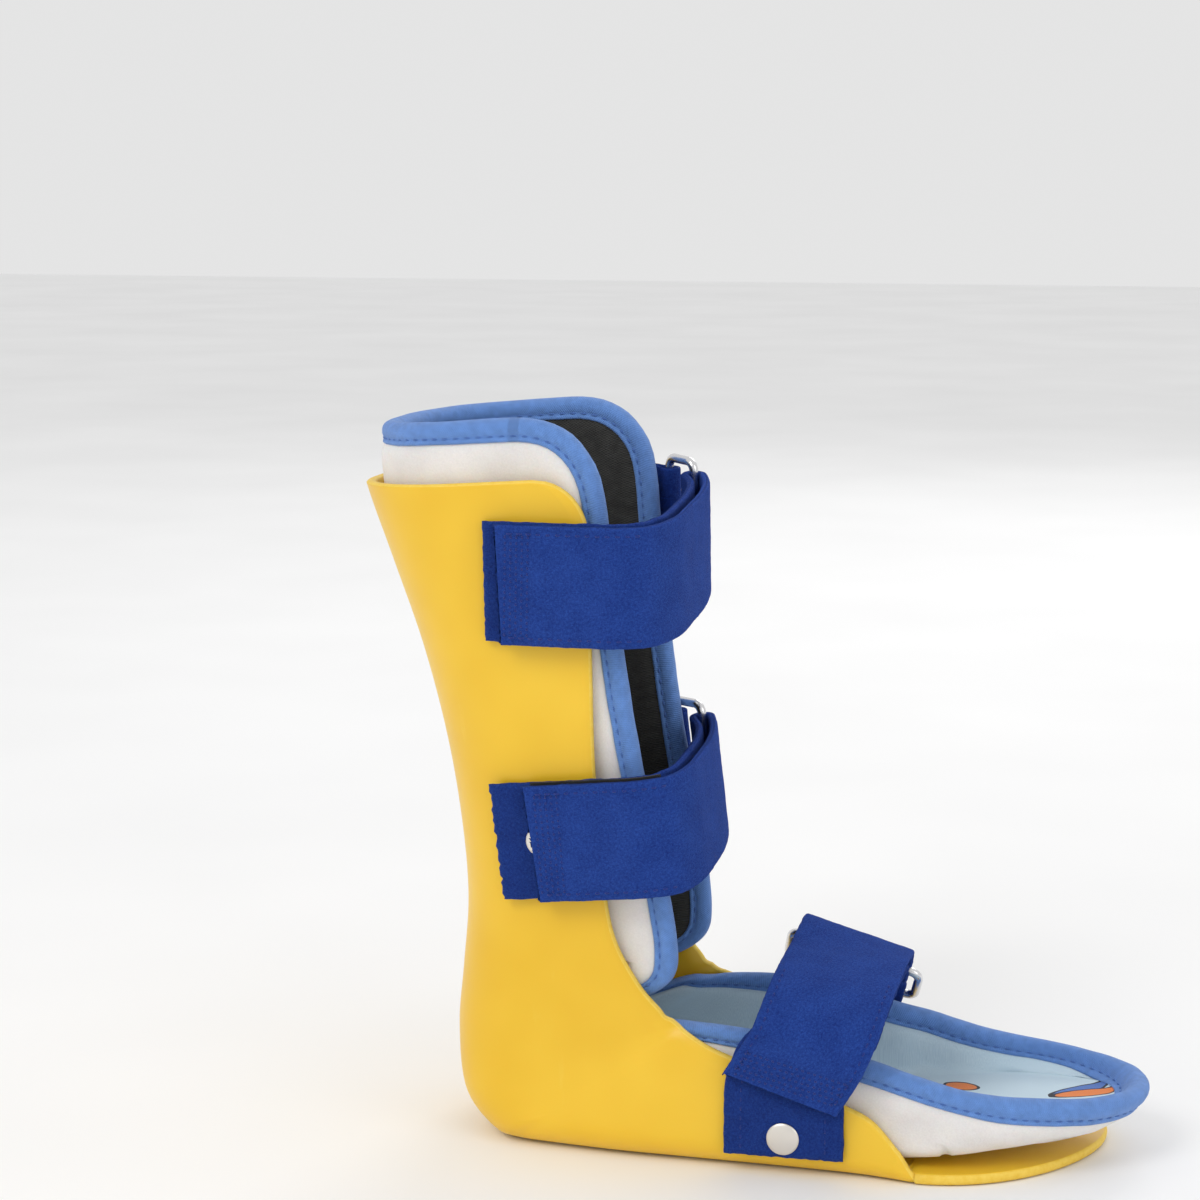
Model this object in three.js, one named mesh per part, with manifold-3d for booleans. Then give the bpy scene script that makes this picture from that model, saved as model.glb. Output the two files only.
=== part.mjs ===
// Child's rigid ankle foot orthosis: a plastic shell, two foam pads that lie in it,
// and three riveted felt straps that run through metal rings and fold back on themselves.
// Millimetres. +X towards the toes, +Z up, -Y the outer side where the straps are riveted.
import * as THREE from 'three';
import { mergeVertices } from 'three/addons/utils/BufferGeometryUtils.js';
import Module from 'manifold-3d';

const wasm = await Module();
wasm.setup();

// ---- driving dimensions ----
const SHELL_THICKNESS = 3.2;
const PAD_GAP = 2.0;
const FOAM_THICKNESS = 5.5;
const LINING_THICKNESS = 0.8;
const CLEARANCE = 0.3;
const BINDING_INSET = 3.2;
const BINDING_RADIUS = 3.0;
const TAPE_THICKNESS = 1.3;

const STRAP_WIDTH = 38;
const STRAP_THICKNESS = 2.4;
const HOOK_THICKNESS = 1.2;
const WIRE_RADIUS = 1.5;
const RING_CORNER = 3;
const HOLE_LENGTH = 24;
const RIVET_RADIUS = 5.2;
const RIVET_SHANK = 2.2;
const RIVET_DOME = 1.2;
const RIVET_FOOT = 1.4;
const RIVET_FOOT_RADIUS = 4;

const FOAM_OUTSIDE = SHELL_THICKNESS + PAD_GAP;
const FOAM_INSIDE = FOAM_OUTSIDE + FOAM_THICKNESS;
const LINING_OUTSIDE = FOAM_INSIDE + 3 * CLEARANCE;
const PAD_MIDDLE = FOAM_OUTSIDE + 0.55 * FOAM_THICKNESS;
const SMALLEST_BEND = 3.4;

// ---- the last: ribs along the back of the calf, round the heel and along the sole ----
// Each rib is a U in a plane through the spine point (x, z), leaning by `lean` degrees from
// the horizontal, with walls `reach` long, half width, bottom corner radius and sideways shift.
const rib = (x, z, lean, reach, half, corner, shift = 0) => ({ x, z, lean, reach, half, corner, shift });
const calfHalf = (z) => 36.5 + 0.07 * (z - 78);
const calfRib = (x, z, lean, reach) => rib(x, z, lean, reach, calfHalf(z), 0.8 * calfHalf(z));
const CALF_RIBS = [
  calfRib(-63.5, 243, 5, 86),
  calfRib(-56, 213.7, 4, 80.2),
  calfRib(-47, 188, 2.5, 71.2),
  calfRib(-37.5, 160.5, 1, 62),
  calfRib(-30, 131, 0, 54.8),
  calfRib(-25.5, 103, 0, 52),
];
const HEEL_RIBS = [
  rib(-23.7, 78, -3, 53.5, 36.5, 29),
  rib(-25.2, 55, 3, 63, 35.5, 27),
  rib(-26.4, 35, 11, 73, 34.5, 24),
  rib(-23.4, 14, 23, 77, 34, 20),
  rib(-12.5, 2.2, 33, 74.5, 34.5, 16),
];
const SOLE_RIBS = [
  rib(-1, 0, 38, 67.5, 36, 13, 0.5),
  rib(28, 0, 47.5, 50, 38.8, 11, 1.5),
  rib(55, 0, 57, 40, 40, 10, 2.5),
  rib(78, 0, 67, 31, 40, 9, 2.5),
  rib(98, 0, 77, 24, 40, 8, 2.5),
  rib(112, 0, 84, 18.5, 40, 6.5, 2.5),
  rib(122, 0, 88, 9.5, 41, 5, 2.8),
];
const SHELL_RIBS = [...CALF_RIBS, ...HEEL_RIBS, ...SOLE_RIBS];
const SHELL_TOP = 1;
const FIRST_FLAT_RIB = 11;

// The flat toe plate of the shell, and the toe of the foot pad that floats above it.
const SHELL_TOE = { start: 128, tip: 183, half: 39.5, bulge: 2.1, shift: 3, turn: 17 };
const PAD_TOE = { start: 122, tip: 202, half: 44.2, bulge: 2.2, shift: 3, turn: 6 };
const SHELL_TOE_CORNER = 3.6;

const smoothstep = (t) => {
  const c = Math.min(1, Math.max(0, t));
  return c * c * (3 - 2 * c);
};
const mix = (a, b, t) => a + (b - a) * t;

// Catmull-Rom value of a list of numbers at the fractional place u.
function listValue(list, u) {
  const at = (i) => list[Math.min(list.length - 1, Math.max(0, i))];
  const i = Math.min(list.length - 2, Math.max(0, Math.floor(u)));
  const t = u - i;
  const m0 = (at(i + 1) - at(i - 1)) / 2;
  const m1 = (at(i + 2) - at(i)) / 2;
  const eased = t * t * (3 - 2 * t);
  const leaving = t * (1 - t) * (1 - t);
  const arriving = t * t * (t - 1);
  return mix(at(i), at(i + 1), eased) + leaving * m0 + arriving * m1;
}

const ribValue = (key, u) => listValue(SHELL_RIBS.map((r) => r[key]), u);

function ribAt(u) {
  const value = {};
  for (const key of ['x', 'z', 'lean', 'reach', 'half', 'corner', 'shift']) {
    value[key] = ribValue(key, u);
  }
  const ahead = u + 0.01;
  const rise = ribValue('z', ahead) - value.z;
  const run = ribValue('x', ahead) - value.x;
  value.cross = Math.max(0.5, Math.sin(value.lean * Math.PI / 180 - Math.atan2(rise, run)));
  if (u > FIRST_FLAT_RIB) value.z = 0;
  return value;
}

// An upright rib of a rounded toe, `inset` inside it: the half width closes on the tip.
function toeRib(toe, t, inset, z, reach, corner) {
  const open = Math.pow(Math.max(0, 1 - Math.pow(t, toe.bulge)), 1 / toe.bulge);
  const half = Math.max(0.5, (toe.half - inset) * open) + inset;
  const x = mix(toe.start, toe.tip - inset, t);
  return { x, z, lean: 90, reach, half, corner, shift: toe.shift + toe.turn * t * t, cross: 1 };
}

// Points across one rib, a distance `inset` inside the outer surface. Three eighths of them lie
// on the floor, three on the corners and two on the walls, until the walls run out at the toe.
function ribPoints(r, inset, count) {
  const half = Math.max(0.3, r.half - inset);
  const corner = Math.min(Math.max(r.corner - inset, SMALLEST_BEND), half - 0.1);
  const base = inset / r.cross;
  const rise = corner / r.cross;
  const wall = Math.max(0, r.reach - base);
  const arc = Math.acos(1 - Math.min(1, wall / rise));
  const floorLength = half - corner;
  const cornerLength = corner * arc;
  const straight = Math.max(0, wall - rise);
  const total = floorLength + cornerLength + straight;
  const walled = smoothstep(wall / (1.5 * rise));
  const floorShare = mix(floorLength / total, 3 / 8, walled);
  const cornerShare = mix((floorLength + cornerLength) / total, 6 / 8, walled);
  const lean = r.lean * Math.PI / 180;
  const points = [];
  for (let j = 0; j <= count; j++) {
    const q = -1 + 2 * j / count;
    const s = Math.abs(q);
    let y = floorLength * Math.min(1, s / floorShare);
    let p = base;
    if (s > floorShare) {
      const turn = arc * Math.min(1, (s - floorShare) / Math.max(1e-6, cornerShare - floorShare));
      y += corner * Math.sin(turn);
      p += rise * (1 - Math.cos(turn));
    }
    if (s > cornerShare) p += straight * (s - cornerShare) / (1 - cornerShare);
    const side = r.shift + Math.sign(q) * y;
    points.push(new THREE.Vector3(r.x + p * Math.cos(lean), side, r.z + p * Math.sin(lean)));
  }
  return points;
}

// ---- solids from grids of points ----
function solid(positions, faces) {
  const geometry = new THREE.BufferGeometry();
  const numbers = positions.flatMap((p) => [p.x, p.y, p.z]);
  geometry.setAttribute('position', new THREE.Float32BufferAttribute(numbers, 3));
  geometry.setIndex(faces);
  return geometry;
}

// A closed slab between two grids of the same size, the outer one seen from outside.
function slab(outer, inner) {
  const rows = outer.length;
  const cols = outer[0].length;
  const positions = [...outer.flat(), ...inner.flat()];
  const at = (side, i, j) => side * rows * cols + i * cols + j;
  const faces = [];
  const quad = (a, b, c, d) => faces.push(a, b, c, a, c, d);
  for (let i = 0; i < rows - 1; i++) {
    for (let j = 0; j < cols - 1; j++) {
      quad(at(0, i, j), at(0, i + 1, j), at(0, i + 1, j + 1), at(0, i, j + 1));
      quad(at(1, i, j), at(1, i, j + 1), at(1, i + 1, j + 1), at(1, i + 1, j));
    }
    quad(at(0, i, 0), at(1, i, 0), at(1, i + 1, 0), at(0, i + 1, 0));
    quad(at(0, i, cols - 1), at(0, i + 1, cols - 1), at(1, i + 1, cols - 1), at(1, i, cols - 1));
  }
  for (let j = 0; j < cols - 1; j++) {
    quad(at(0, 0, j), at(0, 0, j + 1), at(1, 0, j + 1), at(1, 0, j));
    quad(at(0, rows - 1, j), at(1, rows - 1, j), at(1, rows - 1, j + 1), at(0, rows - 1, j + 1));
  }
  return outward(solid(positions, faces));
}

// A tube through closed rings of points; the last ring joins the first, turned by `shift` points.
function hoop(rings, shift) {
  const n = rings[0].length;
  const faces = [];
  rings.forEach((_, i) => {
    const next = (i + 1) % rings.length;
    const turn = next === 0 ? n - shift : 0;
    for (let j = 0; j < n; j++) {
      const k = (j + 1) % n;
      const [c, d] = [next * n + (j + turn) % n, next * n + (k + turn) % n];
      faces.push(i * n + j, c, d, i * n + j, d, i * n + k);
    }
  });
  return outward(solid(rings.flat(), faces));
}

function signedVolume(geometry) {
  const p = geometry.attributes.position;
  const index = geometry.index.array;
  const [a, b, c] = [new THREE.Vector3(), new THREE.Vector3(), new THREE.Vector3()];
  let volume = 0;
  for (let i = 0; i < index.length; i += 3) {
    a.fromBufferAttribute(p, index[i]);
    b.fromBufferAttribute(p, index[i + 1]);
    c.fromBufferAttribute(p, index[i + 2]);
    volume += a.dot(b.cross(c));
  }
  return volume;
}

// Turns a closed geometry the right way out.
function outward(geometry) {
  if (signedVolume(geometry) < 0) {
    const index = Array.from(geometry.index.array);
    for (let i = 0; i < index.length; i += 3) {
      [index[i + 1], index[i + 2]] = [index[i + 2], index[i + 1]];
    }
    geometry.setIndex(index);
  }
  return geometry;
}

function bare(geometry) {
  const copy = geometry.clone();
  copy.deleteAttribute('normal');
  copy.deleteAttribute('uv');
  return copy;
}

function toManifold(geometry) {
  const merged = mergeVertices(bare(geometry), 1e-4);
  return new wasm.Manifold(new wasm.Mesh({
    numProp: 3,
    vertProperties: new Float32Array(merged.attributes.position.array),
    triVerts: new Uint32Array(merged.index.array),
  }));
}

function cutAway(geometry, tools) {
  const rest = tools.reduce((left, tool) => left.subtract(toManifold(tool)), toManifold(geometry));
  const mesh = rest.getMesh();
  const result = new THREE.BufferGeometry();
  result.setAttribute('position', new THREE.BufferAttribute(new Float32Array(mesh.vertProperties), 3));
  result.setIndex(Array.from(mesh.triVerts));
  return result;
}

// ---- materials ----
const finish = (color, roughness, metalness = 0) =>
  new THREE.MeshStandardMaterial({ color, roughness, metalness });
const YELLOW_PLASTIC = finish('#e0b83c', 0.35);
const WHITE_FOAM = finish('#e6e1dc', 0.9);
const PALE_LINING = finish('#c3d6dd', 0.85);
const DARK_LINING = finish('#2d2d2b', 0.95);
const BLUE_BINDING = finish('#6c8cc4', 0.9);
const ROYAL_FELT = finish('#20407f', 0.95);
const BLACK_HOOK = finish('#17181b', 0.8);
const BRIGHT_WIRE = finish('#c9c9c9', 0.2, 1);
const NICKEL = finish('#cfc6bd', 0.3, 1);

const orthosis = new THREE.Group();
function add(name, geometry, material) {
  const mesh = new THREE.Mesh(geometry, material);
  mesh.name = name;
  orthosis.add(mesh);
}

// How far a corner of radius `radius` is rounded off, `below` the edge that it starts from.
const roundedCorner = (below, radius) => {
  const rest = Math.min(radius, Math.max(0, radius - below));
  return radius - Math.sqrt(radius * radius - rest * rest);
};
const steps = (from, to, count) => Array.from({ length: count + 1 }, (_, i) => mix(from, to, i / count));
const outwardAt = (side, slope) => new THREE.Vector3(0, side, -slope).normalize();

// ---- shell ----
const SHELL_CORNER = 17;
const SHELL_STATIONS = [
  ...[SHELL_TOP, 1.05, 1.16, 1.34, 1.6], ...steps(2, 6, 5),
  ...steps(6.6, FIRST_FLAT_RIB, 6), ...steps(FIRST_FLAT_RIB + 0.6, 14, 4),
  ...[14.6, 15.2, 15.7, 16, 16.4, 16.8],
];
const TOE_STATIONS = [0, 0.2, 0.38, 0.54, 0.68, 0.79, 0.88, 0.94, 0.98, 1];

function shellGrid(inset) {
  const top = ribAt(SHELL_TOP).z;
  const rows = SHELL_STATIONS.map((u) => {
    const r = ribAt(u);
    if (u < 3) r.reach -= roundedCorner(top - r.z, SHELL_CORNER);
    return ribPoints(r, inset, 16);
  });
  for (const t of TOE_STATIONS) {
    const plate = toeRib(SHELL_TOE, t, 0, inset, 0, SHELL_TOE_CORNER);
    plate.half += SHELL_TOE_CORNER;
    rows.push(ribPoints(plate, 0, 16));
  }
  return rows;
}

// ---- pads ----
const PAD_TOP = 233;
const PAD_TOP_CORNER = 26;
const PAD_TOP_UPRIGHT = 5;
const PAD_END_CORNER = 16;
const CALF_PAD_END = 7.8;
const CALF_PAD_MARGIN = [5, 4.5, 6.8, 9.8, 14.2, 18, 20, 12, 1];
const FOOT_PAD_START = 8.2;
const FOOT_PAD_MARGIN = [-6, -3, 0, 3, 10.4, 11.3, 13.5, 15, 17.4, 23.5, 26];
const PAD_TOE_LIFT = 7.5;
const PAD_RIM = [34.2, 29.9, 26.4, 24, 22.4, 21.8];
const EDGE_SPACING = 14;

// The rib number where the calf's spine is at height z.
function calfNumber(z) {
  let [low, high] = [0, 7];
  for (let i = 0; i < 40; i++) {
    const middle = (low + high) / 2;
    if (ribAt(middle).z > z) low = middle;
    else high = middle;
  }
  return low;
}

// Ribs of the calf pad with its outline drawn in by `m`.
function calfPadRibs(m) {
  const top = PAD_TOP - m;
  const end = CALF_PAD_END - m / EDGE_SPACING;
  const corner = [0, 2.5, 8, 15, 24].map((below) => calfNumber(top - below));
  return [...corner, ...steps(2, 6.5, 6), ...steps(7, end, 3)].map((u) => {
    const r = ribAt(u);
    const upright = PAD_TOP_UPRIGHT * smoothstep((r.z - 207) / 28);
    r.x += upright;
    r.reach += listValue(CALF_PAD_MARGIN, u) - m - upright;
    r.reach -= roundedCorner(top - r.z, PAD_TOP_CORNER - m);
    r.reach -= roundedCorner((end - u) * EDGE_SPACING, PAD_END_CORNER - m);
    return r;
  });
}

// Ribs of the foot pad with its outline drawn in by `m`, for a layer `inset` inside the last.
function footPadRibs(m, inset) {
  const start = FOOT_PAD_START + 0.2 * m;
  const ribs = [...steps(start, 10.7, 2), ...steps(11.5, 17, 7)].map((u) => {
    const r = ribAt(u);
    r.reach += listValue(FOOT_PAD_MARGIN, u - 8) - m;
    r.half += 0.8 * smoothstep(u - 16);
    r.corner += 3;
    r.z += 1.2 * smoothstep((u - 15.5) / 1.5);
    return r;
  });
  for (const t of steps(0.12, 0.6, 4).concat([0.72, 0.82, 0.9, 0.96, 0.99, 1])) {
    const bottom = 1.8 + PAD_TOE_LIFT * t;
    const reach = listValue(PAD_RIM, 5 * t) - bottom - m;
    const outline = inset + 1.5 * (m - BINDING_INSET) * smoothstep((t - 0.5) / 0.4);
    const r = toeRib(PAD_TOE, t, outline, bottom, reach, 9);
    r.half += inset - outline;
    ribs.push(r);
  }
  return ribs;
}

const EDGE_OF_FOAM = BINDING_INSET + BINDING_RADIUS + 7 * CLEARANCE;
const padLayer = (ribsAt, from, thickness) => slab(
  ribsAt(EDGE_OF_FOAM, from).map((r) => ribPoints(r, from, 12)),
  ribsAt(EDGE_OF_FOAM, from + thickness).map((r) => ribPoints(r, from + thickness, 12)),
);

// The round binding that is sewn over a pad's whole edge.
function padBinding(ribsAt) {
  const grid = ribsAt(BINDING_INSET, PAD_MIDDLE).map((r) => ribPoints(r, PAD_MIDDLE, 10));
  const near = grid.map((row) => row[0]);
  const far = grid.map((row) => row.at(-1)).reverse();
  const across = grid[0].slice(1, -1).reverse();
  const lastAcross = grid.at(-1).slice(1, -1);
  const path = [...near, ...lastAcross, ...far, ...across];
  return tube(spaced(path, 80), BINDING_RADIUS, 6);
}

// Evenly spaced points round a closed path.
function spaced(points, count) {
  const apart = points.filter((p, i) => p.distanceTo(points.at(i - 1)) > 0.4);
  const curve = new THREE.CatmullRomCurve3(apart, true);
  return curve.getSpacedPoints(count).slice(0, count);
}

// A closed round tube along points, its section turned as little as possible.
function tube(points, radius, sides) {
  const count = points.length;
  const wrapped = (i) => points[(i + count) % count];
  const tangentAt = (i) => wrapped(i + 1).clone().sub(wrapped(i - 1)).normalize();
  let across = new THREE.Vector3(0, 0, 1).cross(tangentAt(0)).normalize();
  const rings = points.map((p, i) => {
    const tangent = tangentAt(i);
    across = across.clone().addScaledVector(tangent, -across.dot(tangent)).normalize();
    const up = tangent.clone().cross(across);
    return Array.from({ length: sides }, (_, k) => {
      const angle = 2 * Math.PI * k / sides;
      const spoke = across.clone().multiplyScalar(Math.cos(angle)).addScaledVector(up, Math.sin(angle));
      return p.clone().addScaledVector(spoke, radius);
    });
  });
  const first = rings[0][0];
  const nearest = rings.at(-1).map((p) => p.distanceTo(first));
  const shift = nearest.indexOf(Math.min(...nearest));
  return hoop(rings, shift);
}

function tapePatch(from, to, columns) {
  const outside = SHELL_THICKNESS + CLEARANCE;
  const rows = steps(from, to, 5).map(ribAt);
  const cut = (r, inset) => ribPoints(r, inset, 16).slice(...columns);
  const inside = outside + TAPE_THICKNESS;
  return slab(rows.map((r) => cut(r, outside)), rows.map((r) => cut(r, inside)));
}

// ---- straps ----
// A strap's loop is drawn in its own plane, (a, b), and is as wide as the strap along h. The
// plane is turned by `tilt` about Y and then by `roll` about X, and starts at `origin`.
// `base` and `back` are the points of the riveted run and of the returning run between the wall
// of the shell and the ring; `bar` and `tabBar` are the two long sides of the ring.
const STRAPS = [
  {
    name: 'upper', origin: [0, 0, 191], tilt: 0, roll: 5, slope: 0.07, near: 44.4, far: 44.9,
    baseEnd: -8, backEnd: -3, leave: 25, rivet: 4, hookStart: 11.5, split: 0.63,
    base: [[33, -45.3], [40.5, -42], [45, -31], [46, -12], [45.5, 8], [43, 25]],
    back: [[48, 26], [50.2, 8], [50.5, -12], [49.6, -33], [44, -46], [35, -49.6]],
    bar: [41.5, 37.4], tabBar: [31.5, 46], tabEnd: -1, tabLeave: 25, tabRivet: 11,
  },
  {
    name: 'middle', origin: [0, 0, 106.5], tilt: -5.7, roll: 4.5, slope: 0.07, near: 38.7, far: 39.2,
    baseEnd: -6, backEnd: 6, leave: 29, rivet: 9.2, hookStart: 15, split: 0.56,
    base: [[36.5, -40.1], [46, -38], [50.8, -29], [52, -12], [51.8, 4], [49.5, 19]],
    back: [[54.3, 20], [56.5, 4], [56.7, -13], [55.7, -30], [51.5, -40], [41.5, -44.1]],
    bar: [48, 32], tabBar: [37.3, 40.6], tabEnd: -4, tabLeave: 28, tabRivet: 9,
  },
  {
    name: 'instep', origin: [83, 0, 0], tilt: -74, roll: 0, slope: 0, near: 37.5, far: 42.6,
    baseEnd: 6.6, backEnd: 29, leave: 39, rivet: 13, hookStart: 31, split: 0.7,
    base: [[48, -37.6], [56, -30], [60.5, -13], [61, 6], [59.5, 22]],
    back: [[64.8, 22.5], [66, 6], [65.6, -12], [61, -31.5], [50.5, -41.8]],
    bar: [54.5, 35.5], tabBar: [44, 43.8], tabEnd: 6.6, tabLeave: 38, tabRivet: 15,
  },
];
const BASE_OFFSET = CLEARANCE + STRAP_THICKNESS / 2;
const BACK_OFFSET = BASE_OFFSET + STRAP_THICKNESS + HOOK_THICKNESS + 2 * CLEARANCE;
const FOLD_RADIUS = WIRE_RADIUS + 0.4 + STRAP_THICKNESS / 2;
const TAB_THICKNESS = 1.6;
const TAB_INNER = CLEARANCE + TAB_THICKNESS / 2;
const TAB_OUTER = TAB_INNER + TAB_THICKNESS + CLEARANCE;
const TAB_FOLD_RADIUS = WIRE_RADIUS + 0.6 + TAB_THICKNESS / 2;
const RING_HALF_HEIGHT = STRAP_WIDTH / 2 + 3.5;
const TURN_STEPS = 6;
const JOINT_GAP = 0.005;

const flat = (a, b) => new THREE.Vector2(a, b);

// Where the point (a, b, h) of a strap's own frame is, and which way a direction points.
function placer(strap) {
  const roll = THREE.MathUtils.degToRad(strap.roll);
  const turn = new THREE.Matrix4().makeRotationX(roll)
    .multiply(new THREE.Matrix4().makeRotationY(THREE.MathUtils.degToRad(strap.tilt)));
  const origin = new THREE.Vector3(...strap.origin);
  const nearSlope = strap.slope - Math.sin(roll);
  const farSlope = strap.slope + Math.sin(roll);
  return {
    point: (a, b, h) => new THREE.Vector3(a, b, h).applyMatrix4(turn).add(origin),
    direction: (a, b, h) => new THREE.Vector3(a, b, h).transformDirection(turn),
    nearLean: (a, b, h) => -nearSlope * h * Math.min(1, Math.max(0, -b / strap.near)),
    farLean: (a, b, h) => farSlope * h * (1 - smoothstep((a - strap.tabLeave) / 6)),
    nearSlope: strap.slope ? nearSlope : 0,
    farSlope: strap.slope ? farSlope : 0,
  };
}

// Half a turn about a bar, from the side -n to the side +n, passing away from d.
function halfTurn(bar, d, n, radius) {
  return steps(0, Math.PI, TURN_STEPS).map((angle) => bar.clone()
    .addScaledVector(n, -radius * Math.cos(angle))
    .addScaledVector(d, -radius * Math.sin(angle)));
}

// A flat band of the given thickness along a path of (a, b) points.
function band(path, place, lean, thickness) {
  const halfWidth = STRAP_WIDTH / 2;
  const face = (side) => path.map((p, i) => {
    const before = path[Math.max(0, i - 1)];
    const after = path[Math.min(path.length - 1, i + 1)];
    const t = after.clone().sub(before).normalize();
    const [a, b] = [p.x + side * t.y * thickness / 2, p.y - side * t.x * thickness / 2];
    return [-halfWidth, halfWidth].map((h) => place.point(a, b + lean(a, p.y, h), h));
  });
  return slab(face(1), face(-1));
}

function smoothPath(points, from, to, count) {
  const lifted = points.map((p) => new THREE.Vector3(p.x, p.y, 0));
  const curve = new THREE.CatmullRomCurve3(lifted, false, 'centripetal');
  return steps(from, to, count).map((t) => {
    const p = curve.getPointAt(t);
    return flat(p.x, p.y);
  });
}

const cylinderAlong = (axis, centre, radius, length) =>
  new THREE.CylinderGeometry(radius, radius, length, 12)
    .applyQuaternion(new THREE.Quaternion().setFromUnitVectors(new THREE.Vector3(0, 1, 0), axis))
    .translate(centre.x, centre.y, centre.z);

// A rivet through the shell and a stack of webbing, its foot inside and its domed cap outside.
function rivetGeometry(stack) {
  const inside = -SHELL_THICKNESS - CLEARANCE;
  const cap = stack + CLEARANCE;
  const profile = [
    [0, inside - RIVET_FOOT], [RIVET_FOOT_RADIUS, inside - RIVET_FOOT], [RIVET_FOOT_RADIUS, inside],
    [RIVET_SHANK, inside], [RIVET_SHANK, cap],
    [RIVET_RADIUS, cap], [RIVET_RADIUS - 0.3, cap + 0.3 * RIVET_DOME],
    [0.65 * RIVET_RADIUS, cap + 0.7 * RIVET_DOME], [0, cap + RIVET_DOME],
  ];
  return new THREE.LatheGeometry(profile.map(([r, k]) => flat(r, k)), 10);
}

// The rounded rectangular wire ring between a strap's two bars.
function ringGeometry(strap, place) {
  const bar = flat(...strap.bar);
  const tabBar = flat(...strap.tabBar);
  const middle = bar.clone().add(tabBar).multiplyScalar(0.5);
  const half = bar.distanceTo(tabBar) / 2;
  const e = tabBar.clone().sub(bar).normalize();
  const points = [];
  for (let corner = 0; corner < 4; corner++) {
    const start = corner * Math.PI / 2;
    const [cx, cy] = [[1, 1], [-1, 1], [-1, -1], [1, -1]][corner];
    for (const angle of steps(start, start + Math.PI / 2, 3)) {
      const along = cx * (half - RING_CORNER) + RING_CORNER * Math.cos(angle);
      const high = cy * (RING_HALF_HEIGHT - RING_CORNER) + RING_CORNER * Math.sin(angle);
      points.push(place.point(middle.x + e.x * along, middle.y + e.y * along, high));
    }
  }
  return tube(points, WIRE_RADIUS, 7);
}

const shellHoles = [];

function addStrap(strap) {
  const place = placer(strap);
  const bar = flat(...strap.bar);
  const listed = (points) => points.map(([a, b]) => flat(a, b));
  const besideBar = flat(...strap.base.at(-1)).add(flat(...strap.back[0])).multiplyScalar(0.5);
  const towards = besideBar.sub(bar).normalize();
  const out = flat(-towards.y, towards.x);
  const fold = halfTurn(bar, towards, out, FOLD_RADIUS);
  const onWall = (offset, ends) => ends.map((a) => flat(a, -strap.near - offset));

  const nearAxis = place.direction(0, -1, -place.nearSlope);
  const rivetSeat = place.point(strap.rivet, -strap.near, 0);
  const nearHole = cylinderAlong(nearAxis, rivetSeat, RIVET_SHANK + CLEARANCE, HOLE_LENGTH);
  shellHoles.push(nearHole);

  const wallEnd = (strap.baseEnd + strap.leave) / 2;
  const riveted = onWall(BASE_OFFSET, [strap.baseEnd, wallEnd, strap.leave]);
  const run = [...riveted, ...listed(strap.base), fold[0]];
  const base = [...smoothPath(run, 0, 1, 22), ...fold.slice(1)];
  const baseBand = band(base, place, place.nearLean, STRAP_THICKNESS);
  add(`${strap.name}_strap_base`, cutAway(baseBand, [nearHole]), ROYAL_FELT);

  const backWall = onWall(BACK_OFFSET, [strap.leave, (strap.leave + strap.backEnd) / 2, strap.backEnd]);
  const back = [fold.at(-1), ...listed(strap.back), ...backWall];
  const tail = smoothPath(back, JOINT_GAP, strap.split, 14);
  add(`${strap.name}_strap_tail`, band(tail, place, place.nearLean, STRAP_THICKNESS), ROYAL_FELT);
  const tip = smoothPath(back, strap.split + JOINT_GAP, 1, 11);
  add(`${strap.name}_strap_tip`, band(tip, place, place.nearLean, STRAP_THICKNESS), ROYAL_FELT);

  const hookOffset = BASE_OFFSET + STRAP_THICKNESS / 2 + CLEARANCE + HOOK_THICKNESS / 2;
  const hook = onWall(hookOffset, [strap.leave, strap.hookStart]);
  add(`${strap.name}_hook_patch`, band(hook, place, place.nearLean, HOOK_THICKNESS), BLACK_HOOK);

  const nearRivet = rivetGeometry(CLEARANCE + STRAP_THICKNESS);
  addAlong(`${strap.name}_strap_rivet`, nearRivet, NICKEL, nearAxis, rivetSeat);

  add(`${strap.name}_ring`, ringGeometry(strap, place), BRIGHT_WIRE);

  const farAxis = place.direction(0, 1, -place.farSlope);
  const tabSeat = place.point(strap.tabRivet, strap.far, 0);
  const farHole = cylinderAlong(farAxis, tabSeat, RIVET_SHANK + CLEARANCE, HOLE_LENGTH);
  shellHoles.push(farHole);
  const tabBar = flat(...strap.tabBar);
  const wallInner = [strap.tabEnd, strap.tabLeave].map((a) => flat(a, strap.far + TAB_INNER));
  const wallOuter = [strap.tabLeave, strap.tabEnd].map((a) => flat(a, strap.far + TAB_OUTER));
  const toWall = wallInner[1].clone().add(wallOuter[0]).multiplyScalar(0.5).sub(tabBar).normalize();
  const turnPoints = halfTurn(tabBar, toWall, flat(-toWall.y, toWall.x), TAB_FOLD_RADIUS);
  if (turnPoints[0].y > turnPoints.at(-1).y) turnPoints.reverse();
  const tab = band([...wallInner, ...turnPoints, ...wallOuter], place, place.farLean, TAB_THICKNESS);
  add(`${strap.name}_ring_tab`, cutAway(tab, [farHole]), ROYAL_FELT);
  const farRivet = rivetGeometry(2 * (CLEARANCE + TAB_THICKNESS));
  addAlong(`${strap.name}_ring_rivet`, farRivet, NICKEL, farAxis, tabSeat);
}

// Adds a lathed piece whose axis points along `axis` from `seat`.
function addAlong(name, geometry, material, axis, seat) {
  add(name, outward(mergeVertices(bare(geometry), 1e-4)), material);
  const mesh = orthosis.children.at(-1);
  mesh.quaternion.setFromUnitVectors(new THREE.Vector3(0, 1, 0), axis);
  mesh.position.copy(seat);
}

STRAPS.forEach(addStrap);

add('shell', cutAway(slab(shellGrid(0), shellGrid(SHELL_THICKNESS)), shellHoles), YELLOW_PLASTIC);

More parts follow.
